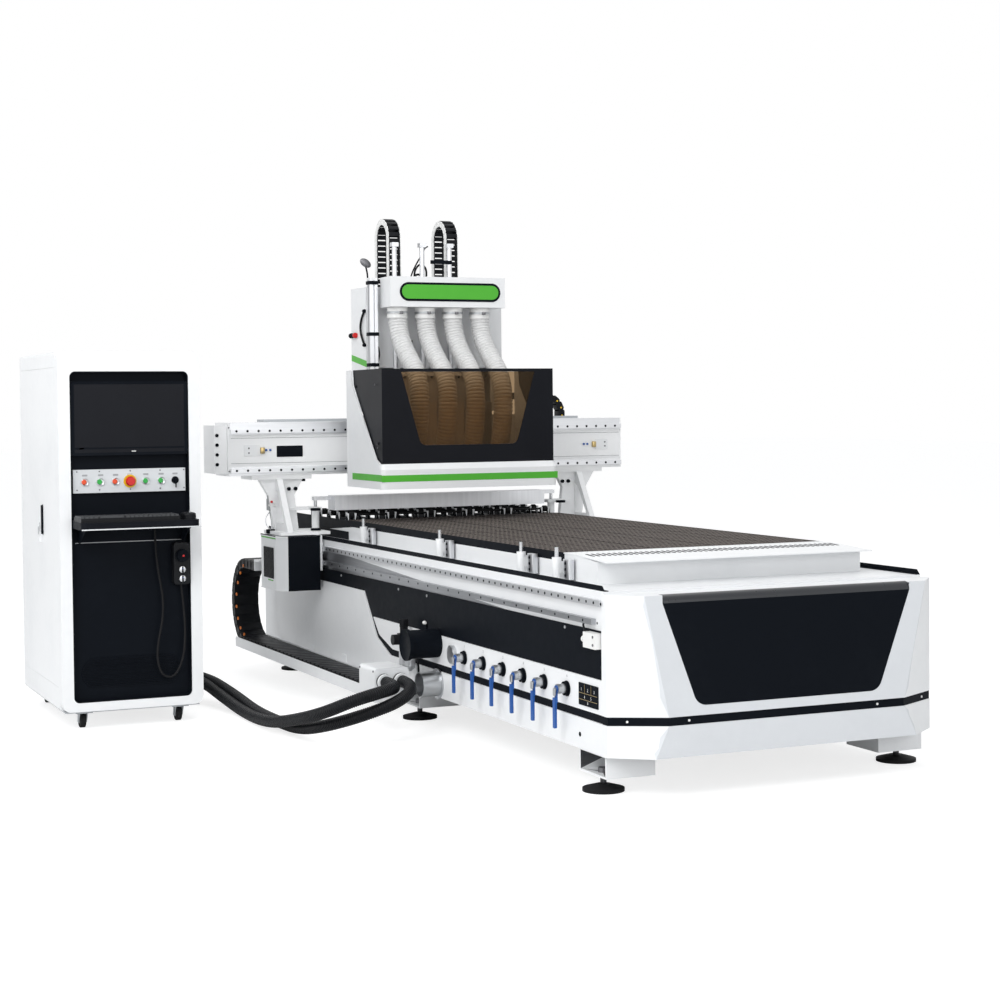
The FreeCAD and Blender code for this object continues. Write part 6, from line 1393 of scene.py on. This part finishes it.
# %% Switch box and junction box
copies("limit_box_screws", cap_screw(5, 2.4), [(-745, 62, 590), (-745, 62, 560)], "machine",
       bolt_steel)
finish("limit_box_knob", rod((-731, 158, 574), 13, 10, "Y", 24, 2), "machine", white_plastic)
box_lead = tube_along([(-731, 150, 600), (-731, 158, 612), (-728, 172, 622),
                       (-720, 186, 628), (-713, 192, 629)], 8)
finish("limit_box_lead", box_lead, "machine", black_plastic, 50)
copies("conduit_glands", ring(35, 28, 12, "Y", 36), [(-976, 1644, 237), (-899, 1644, 237)],
       "machine", black_plastic)
lid_screws = [(-1018.5, y, z) for y, z in ((1668, 282), (1840, 282), (1668, 160))]
copies("junction_screws", cap_screw(5, 3), lid_screws, "machine", bolt_steel)

# %% [markdown]
# A dark sheet closes the rear part of the table's left and right sides. A bright fold
# edges the cabinet's shelf, and a seam runs behind it.

# %% Dark sheets and shelf fold
sheets = [slab((x, 3153, 742), (x + 2.6, 3830, 800), "X", 3, 3, 0.4) for x in (-603, 600.4)]
finish("rear_side_sheets", sheets, "machine", satin_black)
fold = strip((-2182, 2183.4, 914.6), (-1643, 2185.4, 920))
finish("shelf_fold", fold, "machine", zinc)
seam = strip((-2160, 2435.6, 842), (-1664, 2437.4, 846))
finish("shelf_seam", seam, "machine", soft_grey)

# %% [markdown]
# Dark clamps hold the round guide post beside the hoses.

# %% Post clamps
post_clamps = [slab((-458, 3193, z - 9), (-402, 3251, z + 9), "Z", 10, 4, 1)
               for z in (1668, 1829, 2098)]
finish("post_clamps", post_clamps, "head", satin_black)

# %% [markdown]
# Behind the front frame's round corners a thin folded band closes the cabinet's edge. It
# is a rounded slab whose two broad faces are taken off and whose rim gets a thickness. A
# second band closes the four edges further back, and small plates the step between them.


# %% Cabinet corner bands
SHELL_X0, SHELL_X1, SHELL_Z0, SHELL_Z1, SHEET = -2235.6, -1586.4, 82.4, 1711.6, 2.2
SHELL_RADIUS, PLATE_SIZE = 15.6, 58


def edge_band(name, front, rear, radius, keep):
    band = slab((SHELL_X0, front, SHELL_Z0), (SHELL_X1, rear, SHELL_Z1), "Y", radius, 8, 0)
    pick(band, "FACE", lambda f: not keep(f.normal))
    bpy.ops.mesh.delete(type="FACE")
    done_editing()
    modified(band, "SOLIDIFY", thickness=SHEET * MM, offset=-1)
    finish(name, band, "machine", white)


edge_band("cabinet_corner_band", 2439, 2459.6, 41.6, lambda n: abs(n.y) < 0.5)
edge_band("cabinet_edge_band", 2460.2, 3348, SHELL_RADIUS,
          lambda n: abs(n.y) < 0.5 and max(abs(n.x), abs(n.z)) < 0.995)
corner_plates = [
    slab((x, 2460.4, z), (x + PLATE_SIZE, 2460.4 + SHEET, z + PLATE_SIZE), "Y", SHELL_RADIUS, 6, 0)
    for x in (SHELL_X0 + 0.4, SHELL_X1 - 0.4 - PLATE_SIZE)
    for z in (SHELL_Z0 + 0.4, SHELL_Z1 - 0.4 - PLATE_SIZE)]
finish("cabinet_corner_plates", corner_plates, "machine", white)

# %% [markdown]
# A plain pale floor and soft light from a large window-like panel let the colours show
# as they are. The camera sees white behind the machine, as in a studio.

# %% Floor and light
FLOOR_SIZE, FLOOR_GLOW, FLOOR_SHARE, AMBIENT = 80, 1.5, 0.5, 0.5
clear_selection()
bpy.ops.mesh.primitive_plane_add(size=FLOOR_SIZE, location=(0, 20, -0.0005))
floor = settled()
floor.name = "studio_floor"
pick(floor, "FACE", lambda f: True)
bpy.ops.mesh.subdivide(number_cuts=3)
done_editing()
floor_paint = Finish("studio_floor", (0.90, 0.90, 0.90), 0.9)
tree = floor_paint.tree
glow = tree.nodes.new("ShaderNodeEmission")
glow.inputs["Strength"].default_value = FLOOR_GLOW
seen = tree.nodes.new("ShaderNodeLightPath").outputs
mix_shaders(tree, Socket(tree, seen["Is Camera Ray"]) * FLOOR_SHARE, floor_paint.shader, glow,
            tree.nodes["Material Output"])
floor.data.materials.append(floor_paint.material)


def panel_light(name, at, aim, size, power):
    data = bpy.data.lights.new(name, "AREA")
    data.shape = "RECTANGLE"
    data.size, data.size_y = size
    data.energy = power
    obj = bpy.data.objects.new(name, data)
    obj.location = at
    obj.rotation_euler = (Vector(aim) - Vector(at)).to_track_quat("-Z", "Y").to_euler()
    scene.collection.objects.link(obj)


panel_light("key_panel", (-5.5, -5.0, 6.0), (0.2, 0.0, 0.6), (4.0, 4.0), 360)
panel_light("top_panel", (0.5, 0.5, 7.0), (0.3, 0.0, 0.5), (6.0, 7.0), 175)
panel_light("front_panel", (1.5, -14.0, 4.0), (0.4, 0.0, 1.0), (7.0, 5.0), 360)
panel_light("left_panel", (-9.0, -1.5, 3.0), (-0.5, 0.0, 0.9), (5.0, 4.0), 165)

world = bpy.data.worlds.new("studio")
scene.world = world
world.use_nodes = True
sky = world.node_tree
sky.nodes.clear()
ambient, backdrop = (sky.nodes.new("ShaderNodeBackground") for _ in range(2))
plug(sky, (0.96, 0.98, 1.0), ambient.inputs["Color"])
plug(sky, AMBIENT, ambient.inputs["Strength"])
plug(sky, (1.0, 1.0, 1.0), backdrop.inputs["Color"])
seen = sky.nodes.new("ShaderNodeLightPath").outputs
rays = Socket(sky, seen["Is Camera Ray"]) + Socket(sky, seen["Is Glossy Ray"])
rays = (rays + Socket(sky, seen["Is Transmission Ray"])).clear()
mix_shaders(sky, rays, ambient, backdrop, sky.nodes.new("ShaderNodeOutputWorld"))

# %% [markdown]
# Modelling ends with nothing selected.

# %% Finish
clear_selection()
